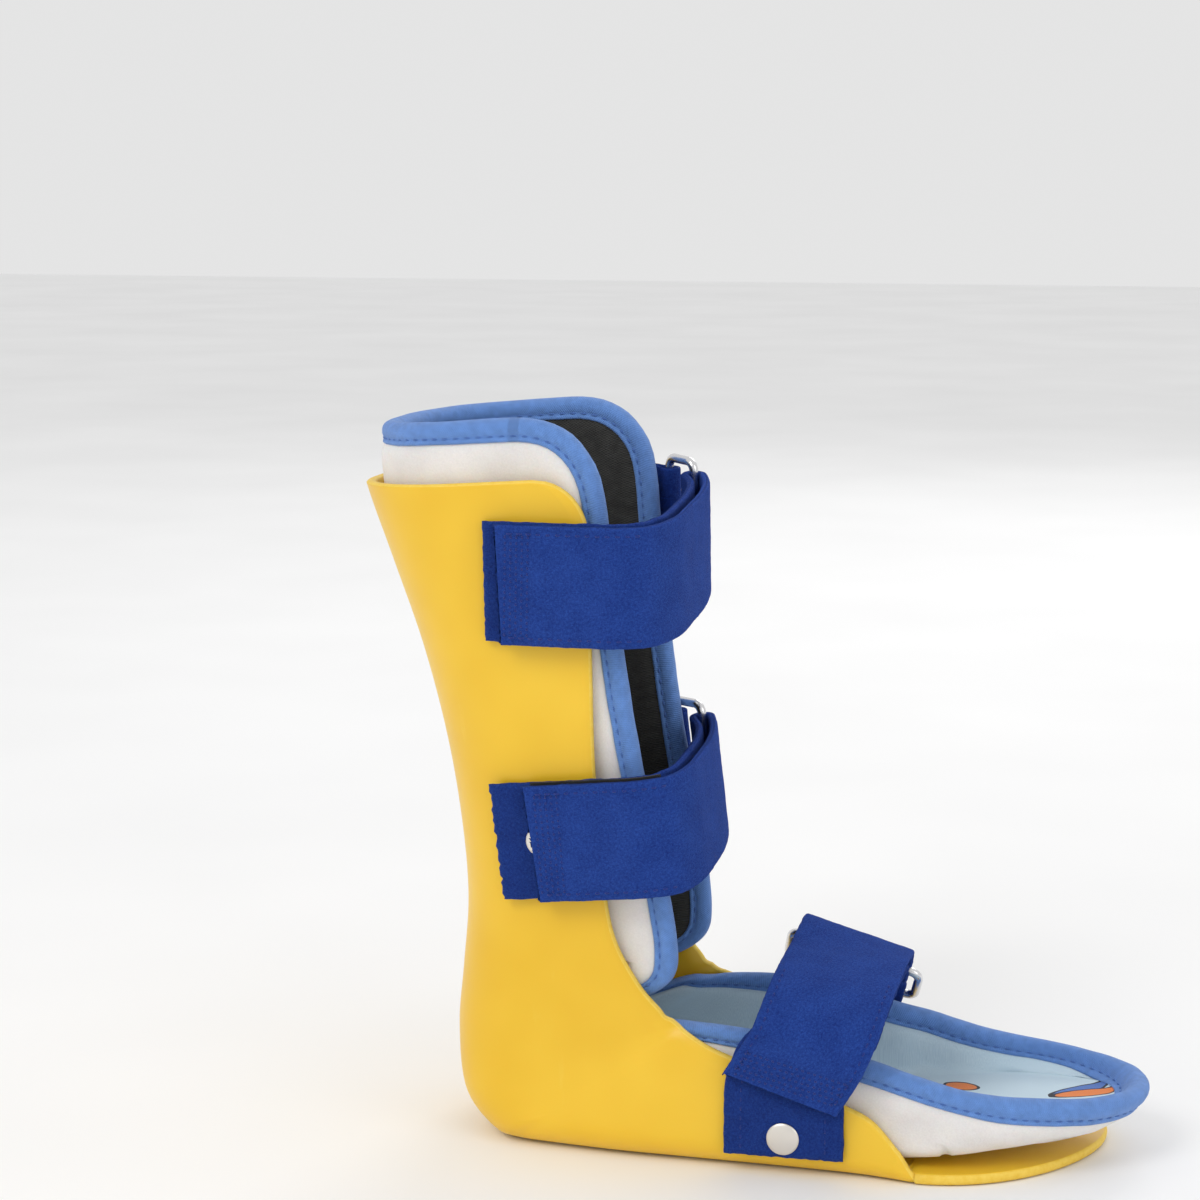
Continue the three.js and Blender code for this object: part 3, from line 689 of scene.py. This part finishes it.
def outline(pad, m, depth):
    maker, loop = PADS[pad]
    g = maker(m, depth)
    flat = [p for row in g for p in row]
    return np.array([flat[k] for k in loop(len(g), len(g[0]))])


def evened(points, times=2):
    for _ in range(times):
        points = 0.25 * np.roll(points, 1, 0) + 0.5 * points + 0.25 * np.roll(points, -1, 0)
    return points


def binding_section():
    section = [(6.9, 5.6), (7.05, 4.95), (6.6, 4.6), (5.9, 4.75), (5.35, 5.2), (4.8, 4.8), (4.0, 4.55)]
    for k in range(11):
        angle = math.radians(-80 + 16 * k)
        section.append((3.2 - 3.1 * math.cos(angle), PAD_MIDDLE + 3.6 * math.sin(angle)))
    section += [(4.0, 11.8), (4.8, 11.5), (5.35, 11.15), (5.9, 11.6),
                (6.6, 11.8), (7.05, 11.5), (6.9, 10.8)]
    return section


def binding_piece(pad):
    rings = [evened(outline(pad, m, d)) for m, d in binding_section()]
    n = len(rings[0])
    lengths = lengths_along(rings[8])
    points, uv = [], []
    around = 0.0
    for j, ring in enumerate(rings):
        if j:
            around += float(np.linalg.norm(ring - rings[j - 1], axis=1).mean())
        for k, p in enumerate(ring):
            wave = 0.16 * noise3(p, 0.12, 3)
            points.append(tuple(p + wave))
            uv.append((lengths[k], around))
    faces = grid_faces(len(rings), n, lambda i, j: i * n + j, True, True)
    obj = piece(f"{pad}_pad_edge_binding", points, faces, BINDING, uv)
    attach(obj, "root")
    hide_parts(f"{pad}_pad_binding")
    for side, j in (("outer", 4), ("inner", 20)):
        normal = rings[j] - evened(outline(pad, 6.0, PAD_MIDDLE))
        normal /= np.linalg.norm(normal, axis=1)[:, None]
        thread = stitches(f"{pad}_pad_{side}_stitches", rings[j], normal, 2.4, 1.3, 0.36,
                          BINDING_THREAD, closed=True)
        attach(thread, "root")
    return obj


def stitches(name, line, normals, length, gap, radius, material, closed=False, lift=0.16):
    """Short threads along a line on a surface, each sunk at its two ends."""
    line, normals = np.asarray(line, float), np.asarray(normals, float)
    if closed:
        line = np.vstack([line, line[:1]])
        normals = np.vstack([normals, normals[:1]])
    gone = lengths_along(line)
    total = gone[-1]
    count = max(1, int(total / (length + gap)))
    pitch = total / count
    points, faces, uv = [], [], []
    for c in range(count):
        start = c * pitch + 0.5 * (pitch - length)
        rings = []
        for k in range(6):
            f = k / 5
            at = start + f * length
            p = np.array([np.interp(at, gone, line[:, i]) for i in range(3)])
            q = np.array([np.interp(at + 0.05, gone, line[:, i]) for i in range(3)])
            o = np.array([np.interp(at, gone, normals[:, i]) for i in range(3)])
            o /= np.linalg.norm(o)
            t = (q - p) / max(1e-9, np.linalg.norm(q - p))
            b = np.cross(t, o)
            arch = math.sin(math.pi * f)
            r = radius * (0.45 + 0.55 * arch)
            centre = p + o * (lift * arch + 0.10 - 0.35 * (1 - arch))
            ring = []
            for s in range(6):
                w = 2 * math.pi * s / 6
                ring.append(centre + r * (math.cos(w) * o + math.sin(w) * b))
            rings.append(ring)
        base = len(points)
        for k, ring in enumerate(rings):
            for s, p in enumerate(ring):
                points.append(tuple(p))
                uv.append((start + k, s))
        for k in range(5):
            for s in range(6):
                e = (s + 1) % 6
                faces.append((base + k * 6 + s, base + k * 6 + e,
                              base + k * 6 + 6 + e, base + k * 6 + 6 + s))
        faces.append(tuple(base + s for s in range(5, -1, -1)))
        faces.append(tuple(base + 30 + s for s in range(6)))
    return piece(name, points, faces, material, uv)


def layer_piece(name, pad, outer, inner, material, puff=0.0):
    """A closed pad layer. outer and inner list (m, depth) from the rim inwards, as far as each other."""
    maker, loop = PADS[pad]
    points, faces, ends = [], [], []
    for levels in (outer, inner):
        rings = [evened(outline(pad, m, d), 1) for m, d in levels[:-1]]
        ids = []
        for ring in rings:
            ids.append(list(range(len(points), len(points) + len(ring))))
            points += [tuple(p) for p in ring]
        m, d = levels[-1]
        grid = maker(m, d)
        rows, cols = len(grid), len(grid[0])
        base = len(points)
        points += [p for row in grid for p in row]
        inside = [base + k for k in loop(rows, cols)]
        ids.append(inside)
        n = len(inside)
        for r0, r1 in zip(ids, ids[1:]):
            quads = [(r0[k], r0[(k + 1) % n], r1[(k + 1) % n], r1[k]) for k in range(n)]
            faces += quads
        faces += grid_faces(rows, cols, lambda i, j: base + i * cols + j)
        ends.append(ids[0])
    n = len(ends[0])
    faces += [(ends[0][k], ends[0][(k + 1) % n], ends[1][(k + 1) % n], ends[1][k]) for k in range(n)]
    if puff:
        points = [tuple(np.array(p) + puff * noise3(p, 0.035, 5) + 0.3 * puff * noise3(p, 0.11, 9))
                  for p in points]
    if pad == "foot":
        uv = [(p[0], p[1]) for p in points]
    else:
        uv = [(p[2], math.degrees(math.atan2(p[1], p[0] + 5)) * 0.6) for p in points]
    obj = piece(name, points, faces, material, uv, merge=0.02)
    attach(obj, "root")
    return obj


FOAM_OUT = [(5.8, 5.75), (7.2, 5.45), (8.4, 4.95), (10.5, 4.55), (13.5, 4.7), (17, 5.0)]
FOAM_IN = [(5.8, 10.6), (7.2, 10.7), (8.4, 10.7), (10.5, 10.7), (13.5, 10.7), (17, 10.7)]
LINING_OUT = [(6.2, 10.85), (7.2, 10.85), (8.4, 10.85), (10.5, 10.85), (13.5, 10.85), (17, 10.85)]
LINING_IN = [(6.2, 11.2), (7.2, 11.25), (8.4, 11.7), (10.5, 12.05), (13.5, 11.95), (17, 11.8)]
for pad, lining_material, lining_slot in (("calf", DARK, "dark_lining"), ("foot", PRINT, "printed_lining")):
    foam = layer_piece(f"{pad}_pad_soft_foam", pad, FOAM_OUT, FOAM_IN, FOAM, 0.5)
    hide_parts(f"{pad}_pad_foam")
    lining = layer_piece(f"{pad}_pad_cloth_lining", pad, LINING_OUT, LINING_IN, lining_material)
    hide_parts(f"{pad}_pad_lining")
    # This area is the piece's own and not a cutting pattern's, so it can't show stretched cloth.
    binding_piece(pad)


# ---- straps ----
STRAPS = [
    dict(name="upper", origin=(0, 0, 191), tilt=0, roll=5, slope=0.07, near=44.4, far=44.9,
         baseEnd=-8, backEnd=-3, leave=25, rivet=4, split=0.63,
         base=[(33, -45.3), (40.5, -42), (45, -31), (46, -12), (45.5, 8), (43, 25)],
         back=[(48, 26), (50.2, 8), (50.5, -12), (49.6, -33), (44, -46), (35, -49.6)],
         bar=(41.5, 37.4), tabBar=(31.5, 46), tabEnd=-1, tabLeave=25, tabRivet=11),
    dict(name="middle", origin=(0, 0, 106.5), tilt=-5.7, roll=4.5, slope=0.07, near=38.7, far=39.2,
         baseEnd=-6, backEnd=6, leave=29, rivet=9.2, split=0.56,
         base=[(36.5, -40.1), (46, -38), (50.8, -29), (52, -12), (51.8, 4), (49.5, 19)],
         back=[(54.3, 20), (56.5, 4), (56.7, -13), (55.7, -30), (51.5, -40), (41.5, -44.1)],
         bar=(48, 32), tabBar=(37.3, 40.6), tabEnd=-4, tabLeave=28, tabRivet=9),
    dict(name="instep", origin=(83, 0, 0), tilt=-74, roll=0, slope=0, near=37.5, far=42.6,
         baseEnd=6.6, backEnd=29, leave=39, rivet=13, split=0.7,
         base=[(48, -37.6), (56, -30), (60.5, -13), (61, 6), (59.5, 22)],
         back=[(64.8, 22.5), (66, 6), (65.6, -12), (61, -31.5), (50.5, -41.8)],
         bar=(54.5, 35.5), tabBar=(44, 43.8), tabEnd=6.6, tabLeave=38, tabRivet=15),
]
BASE_OFFSET = CLEARANCE + STRAP_THICKNESS / 2
BACK_OFFSET = BASE_OFFSET + STRAP_THICKNESS + 1.2 + 2 * CLEARANCE
FOLD_RADIUS = WIRE_RADIUS + 0.4 + STRAP_THICKNESS / 2
TAB_THICKNESS = 1.6
TAB_INNER = CLEARANCE + TAB_THICKNESS / 2
TAB_OUTER = TAB_INNER + TAB_THICKNESS + CLEARANCE
TAB_FOLD_RADIUS = WIRE_RADIUS + 0.6 + TAB_THICKNESS / 2
RING_HALF_HEIGHT = STRAP_WIDTH / 2 + 3.5


class Place:
    def __init__(self, s):
        roll, tilt = math.radians(s["roll"]), math.radians(s["tilt"])
        cr, sr, ct, st = math.cos(roll), math.sin(roll), math.cos(tilt), math.sin(tilt)
        rx = np.array([[1, 0, 0], [0, cr, -sr], [0, sr, cr]])
        ry = np.array([[ct, 0, st], [0, 1, 0], [-st, 0, ct]])
        self.turn = rx @ ry
        self.origin = np.array(s["origin"], float)
        self.s = s
        self.near_slope = s["slope"] - math.sin(roll)
        self.far_slope = s["slope"] + math.sin(roll)

    def point(self, a, b, h):
        return self.turn @ np.array([a, b, h]) + self.origin

    def direction(self, a, b, h):
        v = self.turn @ np.array([a, b, h], float)
        return v / np.linalg.norm(v)

    def near_lean(self, a, b, h):
        return -self.near_slope * h * min(1, max(0, -b / self.s["near"]))

    def far_lean(self, a, b, h):
        return self.far_slope * h * (1 - smoothstep((a - self.s["tabLeave"]) / 6))


def centripetal(points, per=48):
    pts = [np.array(p, float) for p in points]
    pts = [2 * pts[0] - pts[1]] + pts + [2 * pts[-1] - pts[-2]]
    out = []
    for i in range(1, len(pts) - 2):
        p0, p1, p2, p3 = pts[i - 1:i + 3]
        d0, d1, d2 = (max(1e-4, np.linalg.norm(b - a) ** 0.5) for a, b in ((p0, p1), (p1, p2), (p2, p3)))
        m1 = ((p1 - p0) / d0 - (p2 - p0) / (d0 + d1) + (p2 - p1) / d1) * d1
        m2 = ((p2 - p1) / d1 - (p3 - p1) / (d1 + d2) + (p3 - p2) / d2) * d1
        for k in range(per):
            t = k / per
            t2, t3 = t * t, t ** 3
            out.append((2 * t3 - 3 * t2 + 1) * p1 + (t3 - 2 * t2 + t) * m1
                       + (3 * t2 - 2 * t3) * p2 + (t3 - t2) * m2)
    out.append(pts[-2])
    return np.array(out)


def resampled(line, spacing):
    gone = lengths_along(line)
    count = max(2, int(round(gone[-1] / spacing)))
    at = np.linspace(0, gone[-1], count + 1)
    return np.stack([np.interp(at, gone, line[:, i]) for i in range(2)], 1), at


def cut(line, a, b):
    """The part of a plane line from length a to length b. A b past the line's end repeats its last
    point, which leaves a strap's last row without a direction."""
    gone = lengths_along(line)
    keep = [s for s in gone if a + 0.02 < s < b - 0.02]
    at = np.array([a, *keep, b])
    return np.stack([np.interp(at, gone, line[:, i]) for i in range(2)], 1), at


def half_turn(bar, d, n, radius, count=14):
    return [bar - n * radius * math.cos(w) - d * radius * math.sin(w) for w in steps(0, math.pi, count)]


def felt_band(name, line, at, place, lean, thickness, material, width=STRAP_WIDTH, ends=(True, True),
              shift=0.0, offset=0.0, slant=0.0, fray=0.0, rough_edge=0.25, dents=None, swing=None):
    """A flat strap along a plane line: rounded edges, a slightly uneven face, rounded ends.
    `at` is each station's length along the whole strap, so the cloth runs on from piece to piece."""
    line = np.asarray(line, float)
    tangents = np.gradient(line, axis=0)
    tangents /= np.linalg.norm(tangents, axis=1)[:, None]
    normals = np.stack([tangents[:, 1], -tangents[:, 0]], 1)
    half, r = width / 2, thickness / 2
    flats = 30
    section = []
    for k in range(flats + 1):
        section.append((mix(-half + 0.8 * r, half - 0.8 * r, k / flats), r))
    for k in range(1, 6):
        w = math.pi * k / 6
        section.append((half - 0.8 * r + 0.8 * r * math.sin(w), r * math.cos(w)))
    for k in range(flats + 1):
        section.append((mix(half - 0.8 * r, -half + 0.8 * r, k / flats), -r))
    for k in range(1, 6):
        w = math.pi * k / 6
        section.append((-half + 0.8 * r - 0.8 * r * math.sin(w), -r * math.cos(w)))
    cols = len(section)
    points, uv = [], []
    first, last = at[0], at[-1]
    for i, (p, n, t) in enumerate(zip(line, normals, tangents)):
        s = at[i]
        thin = 1.0
        if ends[0]:
            thin = min(thin, 0.45 + 0.55 * smoothstep((s - first) / 1.0))
        if ends[1]:
            thin = min(thin, 0.45 + 0.55 * smoothstep((last - s) / 1.0))
        for h, o in section:
            wave = 0.0
            if abs(h) > half - 1.5:
                wave = rough_edge * noise3((s, math.copysign(40, h), 0), 0.25, 1.7) \
                    + 0.5 * rough_edge * noise3((s, math.copysign(40, h), 0), 1.1, 4.1)
            hh = h + math.copysign(wave, h) + shift
            spot = (s, h, 10 * (o > 0))
            lump = 0.22 * noise3(spot, 0.16, 2.3) + 0.10 * noise3(spot, 0.6, 7.3)
            lump *= min(1.0, abs(o) / r)
            oo = o * thin + math.copysign(lump, o) * 0.8 * (o != 0) + offset
            if dents is not None:
                oo -= math.copysign(dents(s, h), o)
            q = p + n * oo
            if ends[1]:
                q = q + t * (slant * h * smoothstep(1 - (last - s) / 9)
                             + fray * noise3((s * 0, h, 3), 0.9, 5.5) * smoothstep(1 - (last - s) / 2))
            if ends[0]:
                q = q + t * (fray * noise3((s * 0, h, 8), 0.9, 8.5) * smoothstep(1 - (s - first) / 2))
            a, h2 = swing(q[0], p[1], hh) if swing else (q[0], hh)
            points.append(tuple(place.point(a, q[1] + lean(q[0], p[1], hh), h2)))
            uv.append((s + 300 * (o < 0), hh))
    rows = len(line)
    faces = grid_faces(rows, cols, lambda i, j: i * cols + j, False, True)
    for base in (0, (rows - 1) * cols):
        top = [base + k for k in range(flats + 1)]
        bottom = [base + flats + 6 + k for k in range(flats + 1)][::-1]
        caps = [(top[k], top[k + 1], bottom[k + 1], bottom[k]) for k in range(flats)]
        edge_a = [base + flats + k for k in range(0, 7)]
        edge_b = [base + 2 * flats + 6 + k for k in range(0, 6)] + [base]
        caps += [tuple(edge_a), tuple(edge_b)]
        faces += caps
    return piece(name, points, faces, material, uv, flat_angle=55)


def surface_line(path, at, place, lean, offset, samples, swing=None):
    """Points and outward normals on a strap's face at (length, height) samples."""
    tangents = np.gradient(path, axis=0)
    tangents /= np.linalg.norm(tangents, axis=1)[:, None]
    normals = np.stack([tangents[:, 1], -tangents[:, 0]], 1)
    pts, out = [], []
    for s, h in samples:
        p = np.array([np.interp(s, at, path[:, i]) for i in range(2)])
        n = np.array([np.interp(s, at, normals[:, i]) for i in range(2)])
        n /= np.linalg.norm(n)
        q = p + n * offset
        a, h2 = swing(q[0], p[1], h) if swing else (q[0], h)
        pts.append(place.point(a, q[1] + lean(q[0], p[1], h), h2))
        out.append(place.direction(n[0], n[1], 0) * (1 if offset > 0 else -1))
    return np.array(pts), np.array(out)


def wire_tube(name, points, radius, material, sides=20):
    pts = np.array(points, float)
    n = len(pts)
    tangent = np.roll(pts, -1, 0) - np.roll(pts, 1, 0)
    tangent /= np.linalg.norm(tangent, axis=1)[:, None]
    plane = np.cross(pts[n // 4] - pts[0], pts[n // 2] - pts[0])
    plane /= np.linalg.norm(plane)
    out, uv = [], []
    for i in range(n):
        up = plane
        side = np.cross(tangent[i], up)
        for k in range(sides):
            w = 2 * math.pi * k / sides
            out.append(tuple(pts[i] + radius * (math.cos(w) * side + math.sin(w) * up)))
            uv.append((i, k))
    faces = grid_faces(n, sides, lambda i, j: i * sides + j, True, True)
    return piece(name, out, faces, material, uv)


def lathe(name, profile, seat, axis, material, sides=56):
    axis = axis / np.linalg.norm(axis)
    side = np.cross(axis, np.array([0.3, 0.1, 0.9]))
    side /= np.linalg.norm(side)
    up = np.cross(axis, side)
    points, uv = [], []
    for r, k in profile:
        for j in range(sides):
            w = 2 * math.pi * j / sides
            points.append(tuple(seat + axis * k + (side * math.cos(w) + up * math.sin(w)) * max(r, 0.001)))
            uv.append((r, k))
    faces = grid_faces(len(profile), sides, lambda i, j: i * sides + j, False, True)
    faces.append(tuple(range(sides)))
    faces.append(tuple((len(profile) - 1) * sides + j for j in reversed(range(sides))))
    return piece(name, points, faces, material, uv, flat_angle=40, merge=0.004)


def rivet(name, stack, seat, axis, node_name):
    inside = -SHELL_THICKNESS - CLEARANCE
    cap = stack + 0.1
    profile = [(0.2, inside - 1.4), (3.2, inside - 1.4), (3.8, inside - 1.15),
               (4, inside - 0.7), (3.9, inside),
               (2.2, inside), (2.2, cap), (4.9, cap), (5.15, cap + 0.1),
               (5.2, cap + 0.3), (5.05, cap + 0.52),
               (4.6, cap + 0.72), (4.0, cap + 0.92), (3.2, cap + 1.10),
               (2.2, cap + 1.24), (1.2, cap + 1.31),
               (0.4, cap + 1.33)]
    obj = lathe(name, profile, seat, axis, NICKEL)
    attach(obj, "root")
    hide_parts(node_name)
    return obj


def build_strap(s):
    name = s["name"]
    place = Place(s)
    bar = np.array(s["bar"], float)
    towards = (np.array(s["base"][-1], float) + np.array(s["back"][0], float)) / 2 - bar
    towards /= np.linalg.norm(towards)
    out = np.array([-towards[1], towards[0]])
    fold = half_turn(bar, towards, out, FOLD_RADIUS)
    near = s["near"]

    def wall(offset, ends):
        return [(a, -near - offset) for a in ends]

    wall_end = (s["baseEnd"] + s["leave"]) / 2
    run = centripetal(wall(BASE_OFFSET, [s["baseEnd"], wall_end, s["leave"]]) + s["base"] + [fold[0]])
    back_wall = wall(BACK_OFFSET, [s["leave"], (s["leave"] + s["backEnd"]) / 2, s["backEnd"]])
    back = centripetal([fold[-1]] + s["back"] + back_wall)

    def length(line):
        return float(np.linalg.norm(np.diff(line, axis=0), axis=1).sum())

    whole = np.vstack([run, np.array(fold[1:-1]), back])
    s_fold0, s_fold1 = length(run), length(run) + length(np.array(fold))
    s_end = length(whole)
    s_split = s_fold1 + s["split"] * (s_end - s_fold1)
    path, at = resampled(whole, 0.9)
    lean = place.near_lean
    cut_a, cut_b = s_fold0 + 1.0, s_fold1 + 17.0

    def part(a, b):
        return cut(path, a, b)

    def on_path(gone):
        return place.point(*[np.interp(gone, at, path[:, i]) for i in range(2)], 0)

    hem = name == "instep"

    def settled(a, b, h):
        near_top = smoothstep((a - 38) / 16) * smoothstep((24 - b) / 30)
        return a - near_top * (1.5 + 0.19 * h), h

    def upright(a, b, h):
        turn = math.radians(16) * (1 - smoothstep((a - 26) / 24)) * smoothstep((20 - b) / 20)
        turned = 13 + (a - 13) * math.cos(turn) - h * math.sin(turn)
        return settled(turned, b, (a - 13) * math.sin(turn) + h * math.cos(turn))

    def slide(a, b, h):
        moved = h + 0.20 * max(0.0, 54 - a) * smoothstep((58 - a) / 30)
        return settled(a - 2.0 * smoothstep((56 - a) / 26), b, moved)

    base_swing, front_swing = (upright, slide) if hem else (None, None)
    turn_swing = settled if hem else None
    fray = 0.9 if name == "middle" else 0.35
    line, where = part(0, cut_a)
    base = felt_band(f"{name}_strap_fixed_run", line, where, place, lean, STRAP_THICKNESS, FELT_TAB,
                     ends=(True, False), fray=fray, rough_edge=0.35, swing=base_swing)
    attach(base, "root")
    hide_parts(f"{name}_strap_base")

    line, where = part(cut_a, cut_b)
    turn = felt_band(f"{name}_strap_turn", line, where, place, lean, STRAP_THICKNESS, FELT,
                     ends=(False, False), swing=turn_swing)
    hinge0 = on_path(s_fold1)
    hinge1 = on_path(s_fold1 + 15.0)
    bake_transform(turn)

    edge_dent = 2.6
    patch_from = s_end - 46
    columns = (3.0, 4.8, 6.6, 8.4, 10.2)

    def dents(sv, h):
        d = 0.0
        if sv > patch_from:
            d += 0.3 * math.exp(-((abs(h) - (19 - edge_dent)) / 0.9) ** 2)
        gone = s_end - sv - slant * h
        d += 0.22 * smoothstep((gone - 1.6) / 1.0) * smoothstep((11.6 - gone) / 1.0)
        for row in columns:
            d += 0.10 * math.exp(-((gone - row) / 0.5) ** 2)
        return d

    slant = 0.035 if name != "instep" else -0.03
    line, where = part(cut_b, s_end)
    front = felt_band(f"{name}_strap_front", line, where, place, lean, STRAP_THICKNESS, FELT,
                      ends=(False, True), slant=slant, dents=dents, fray=0.25, swing=front_swing)
    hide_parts(f"{name}_strap_tail", f"{name}_strap_tip")
    bend0 = on_path(s_split - 9)
    bend1 = on_path(s_split + 9)
    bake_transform(front)

    # The hook patch on the inner face, and the threads that hold it.
    line, where = part(s_end - 45, s_end - 2.0)
    lift = 1.1 if name == "middle" else 0.0
    hook = felt_band(f"{name}_hook_tape", line, where, place, lean, 1.15, HOOK,
                     width=37.0, shift=lift, offset=STRAP_THICKNESS / 2 + 0.62, rough_edge=0.12,
                     swing=front_swing)
    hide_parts(f"{name}_hook_patch")
    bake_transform(hook)

    top = STRAP_THICKNESS / 2 + 0.02
    rows = []
    e = 19 - edge_dent
    for h in (-e, e):
        rows.append([(sv, h) for sv in steps(patch_from, s_end - 3.2, 60)])
    for k, gap in enumerate(columns):
        shifted = 0.8 if k % 2 else 0.0
        rows.append([(s_end - gap - slant * h, h) for h in steps(-e + shifted, e, 40)])
    for k, row in enumerate(rows):
        sunk = 0.40 if k > 1 else 0.30
        pts, normals = surface_line(path, at, place, lean, sunk - top, row, front_swing)
        length, gap = (1.15, 0.75) if k > 1 else (1.9, 1.0)
        thread = stitches(f"{name}_patch_stitches_{k}", pts, normals, length, gap, 0.33, THREAD, lift=0.3)
        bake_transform(thread)

    if hem:
        for k, h in enumerate((-19 + 5.6, 19 - 5.6)):
            row = [(sv, h) for sv in steps(1.5, s["leave"] - s["baseEnd"], 50)]
            pts, normals = surface_line(path, at, place, lean, top - 0.12, row, base_swing)
            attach(stitches(f"{name}_hem_stitches_{k}", pts, normals, 2.0, 1.0, 0.28, THREAD), "root")

    near_axis = place.direction(0, -1, -place.near_slope if s["slope"] else 0)
    rivet(f"{name}_rivet_near", CLEARANCE + STRAP_THICKNESS, place.point(s["rivet"], -near, 0), near_axis,
          f"{name}_strap_rivet")

    # The wire ring.
    tab_bar = np.array(s["tabBar"], float)
    middle = (bar + tab_bar) / 2
    half = np.linalg.norm(tab_bar - bar) / 2
    e_dir = (tab_bar - bar) / np.linalg.norm(tab_bar - bar)
    pts = []
    for corner in range(4):
        cx, cy = ((1, 1), (-1, 1), (-1, -1), (1, -1))[corner]
        for w in steps(corner * math.pi / 2, (corner + 1) * math.pi / 2, 8):
            along = cx * (half - 3) + 3 * math.cos(w)
            high = cy * (RING_HALF_HEIGHT - 3) + 3 * math.sin(w)
            pts.append(place.point(middle[0] + e_dir[0] * along, middle[1] + e_dir[1] * along, high))
    ring = wire_tube(f"{name}_wire_ring", pts, WIRE_RADIUS, WIRE)
    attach(ring, "root")
    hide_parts(f"{name}_ring")

    # The tab that holds the ring on the far wall.
    far = s["far"]
    inner = [np.array((a, far + TAB_INNER)) for a in (s["tabEnd"], s["tabLeave"])]
    outer = [np.array((a, far + TAB_OUTER)) for a in (s["tabLeave"], s["tabEnd"])]
    to_wall = (inner[1] + outer[0]) / 2 - tab_bar
    to_wall /= np.linalg.norm(to_wall)
    bend = half_turn(tab_bar, to_wall, np.array([-to_wall[1], to_wall[0]]), TAB_FOLD_RADIUS, 10)
    if bend[0][1] > bend[-1][1]:
        bend = bend[::-1]
    tab_line = centripetal([inner[0], (inner[0] + inner[1]) / 2, inner[1], *bend, outer[0],
                            (outer[0] + outer[1]) / 2, outer[1]], 8)
    tab_line, tab_at = resampled(tab_line, 1.0)
    tab = felt_band(f"{name}_ring_loop", tab_line, tab_at + 600, place, place.far_lean,
                    TAB_THICKNESS, FELT_TAB,
                    fray=0.3)
    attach(tab, "root")
    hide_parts(f"{name}_ring_tab")
    far_axis = place.direction(0, 1, -place.far_slope if s["slope"] else 0)
    rivet(f"{name}_rivet_far", 2 * (CLEARANCE + TAB_THICKNESS), place.point(s["tabRivet"], far, 0),
          far_axis,
          f"{name}_ring_rivet")


for strap in STRAPS:
    build_strap(strap)


# ---- hook tapes between the pads and the shell ----
def tape_piece(name, first, last, half_q, node_name):
    outside = SHELL_THICKNESS + CLEARANCE
    us = steps(first, last, 30)
    qs = steps(-half_q, half_q, 24)
    points, uv = [], []
    for inset in (outside, outside + 1.3):
        for u in us:
            for q, p in zip(qs, rib_points(rib_at(u), inset, qs)):
                points.append(p)
                uv.append((u * 20, q * 60))
    rows, cols = len(us), len(qs)
    faces = grid_faces(rows, cols, lambda i, j: i * cols + j)
    faces += [tuple(k + rows * cols for k in f) for f in faces]
    loop = loop_indices(rows, cols)
    n = len(loop)
    shift = rows * cols
    faces += [(loop[k], loop[(k + 1) % n], loop[(k + 1) % n] + shift, loop[k] + shift) for k in range(n)]
    obj = piece(name, points, faces, HOOK, uv, flat_angle=40)
    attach(obj, "root")
    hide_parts(node_name)


tape_piece("upper_pad_tape", 1.7, 3.2, 0.375, "calf_pad_upper_tape")
tape_piece("lower_pad_tape", 4.6, 6.2, 0.375, "calf_pad_lower_tape")
tape_piece("sole_pad_tape", 12.4, 15.2, 0.375, "foot_pad_tape")


# ---- floor, light, camera ----
def floor_piece():
    mesh = bpy.data.meshes.new("floor")
    mesh.from_pydata([(-6, -6, 0), (6, -6, 0), (6, 6, 0), (-6, 6, 0)], [], [(0, 1, 2, 3)])
    m, t, s = nodes_of("floor_paint", (0.92, 0.92, 0.92), 0.9)
    cloud = noise_node(t, object_of(t), 4, 2)
    tone = ramp(t, cloud, [(0.3, (0.90, 0.90, 0.90)), (0.7, (0.94, 0.94, 0.94))])
    t.links.new(tone, s.inputs["Base Color"])
    mesh.materials.append(m)
    obj = bpy.data.objects.new("floor", mesh)
    obj.location.z = -0.0004
    bpy.context.collection.objects.link(obj)


floor_piece()
world = bpy.data.worlds.new("studio")
bpy.context.scene.world = world
world.use_nodes = True
world.node_tree.nodes["Background"].inputs[0].default_value = (1, 1, 1, 1)
world.node_tree.nodes["Background"].inputs[1].default_value = 0.78
bpy.context.scene.view_settings.view_transform = "Standard"


def area_light(name, place, aim, size, power):
    data = bpy.data.lights.new(name, "AREA")
    data.shape = "DISK"
    data.size = size
    data.energy = power
    obj = bpy.data.objects.new(name, data)
    obj.location = place
    obj.rotation_euler = (Vector(aim) - Vector(place)).to_track_quat("-Z", "Y").to_euler()
    bpy.context.collection.objects.link(obj)


middle = Vector((0.06, 0, 0.1))
area_light("key", (-0.7, -1.4, 1.5), middle, 0.9, 10.5)
area_light("fill", (1.6, -0.9, 0.9), middle, 1.2, 4)
area_light("back", (0.3, 1.6, 1.2), middle, 1.0, 6)

camera_data = bpy.data.cameras.new("camera")
camera_data.lens = 85.2
camera_data.sensor_width = 36
camera = bpy.data.objects.new("camera", camera_data)
camera.location = (0.230, -0.884, 0.319)
towards = Vector((0.018, 0, 0.175)) - Vector(camera.location)
camera.rotation_euler = towards.to_track_quat("-Z", "Y").to_euler()
bpy.context.collection.objects.link(camera)
bpy.context.scene.camera = camera

bpy.context.view_layer.update()
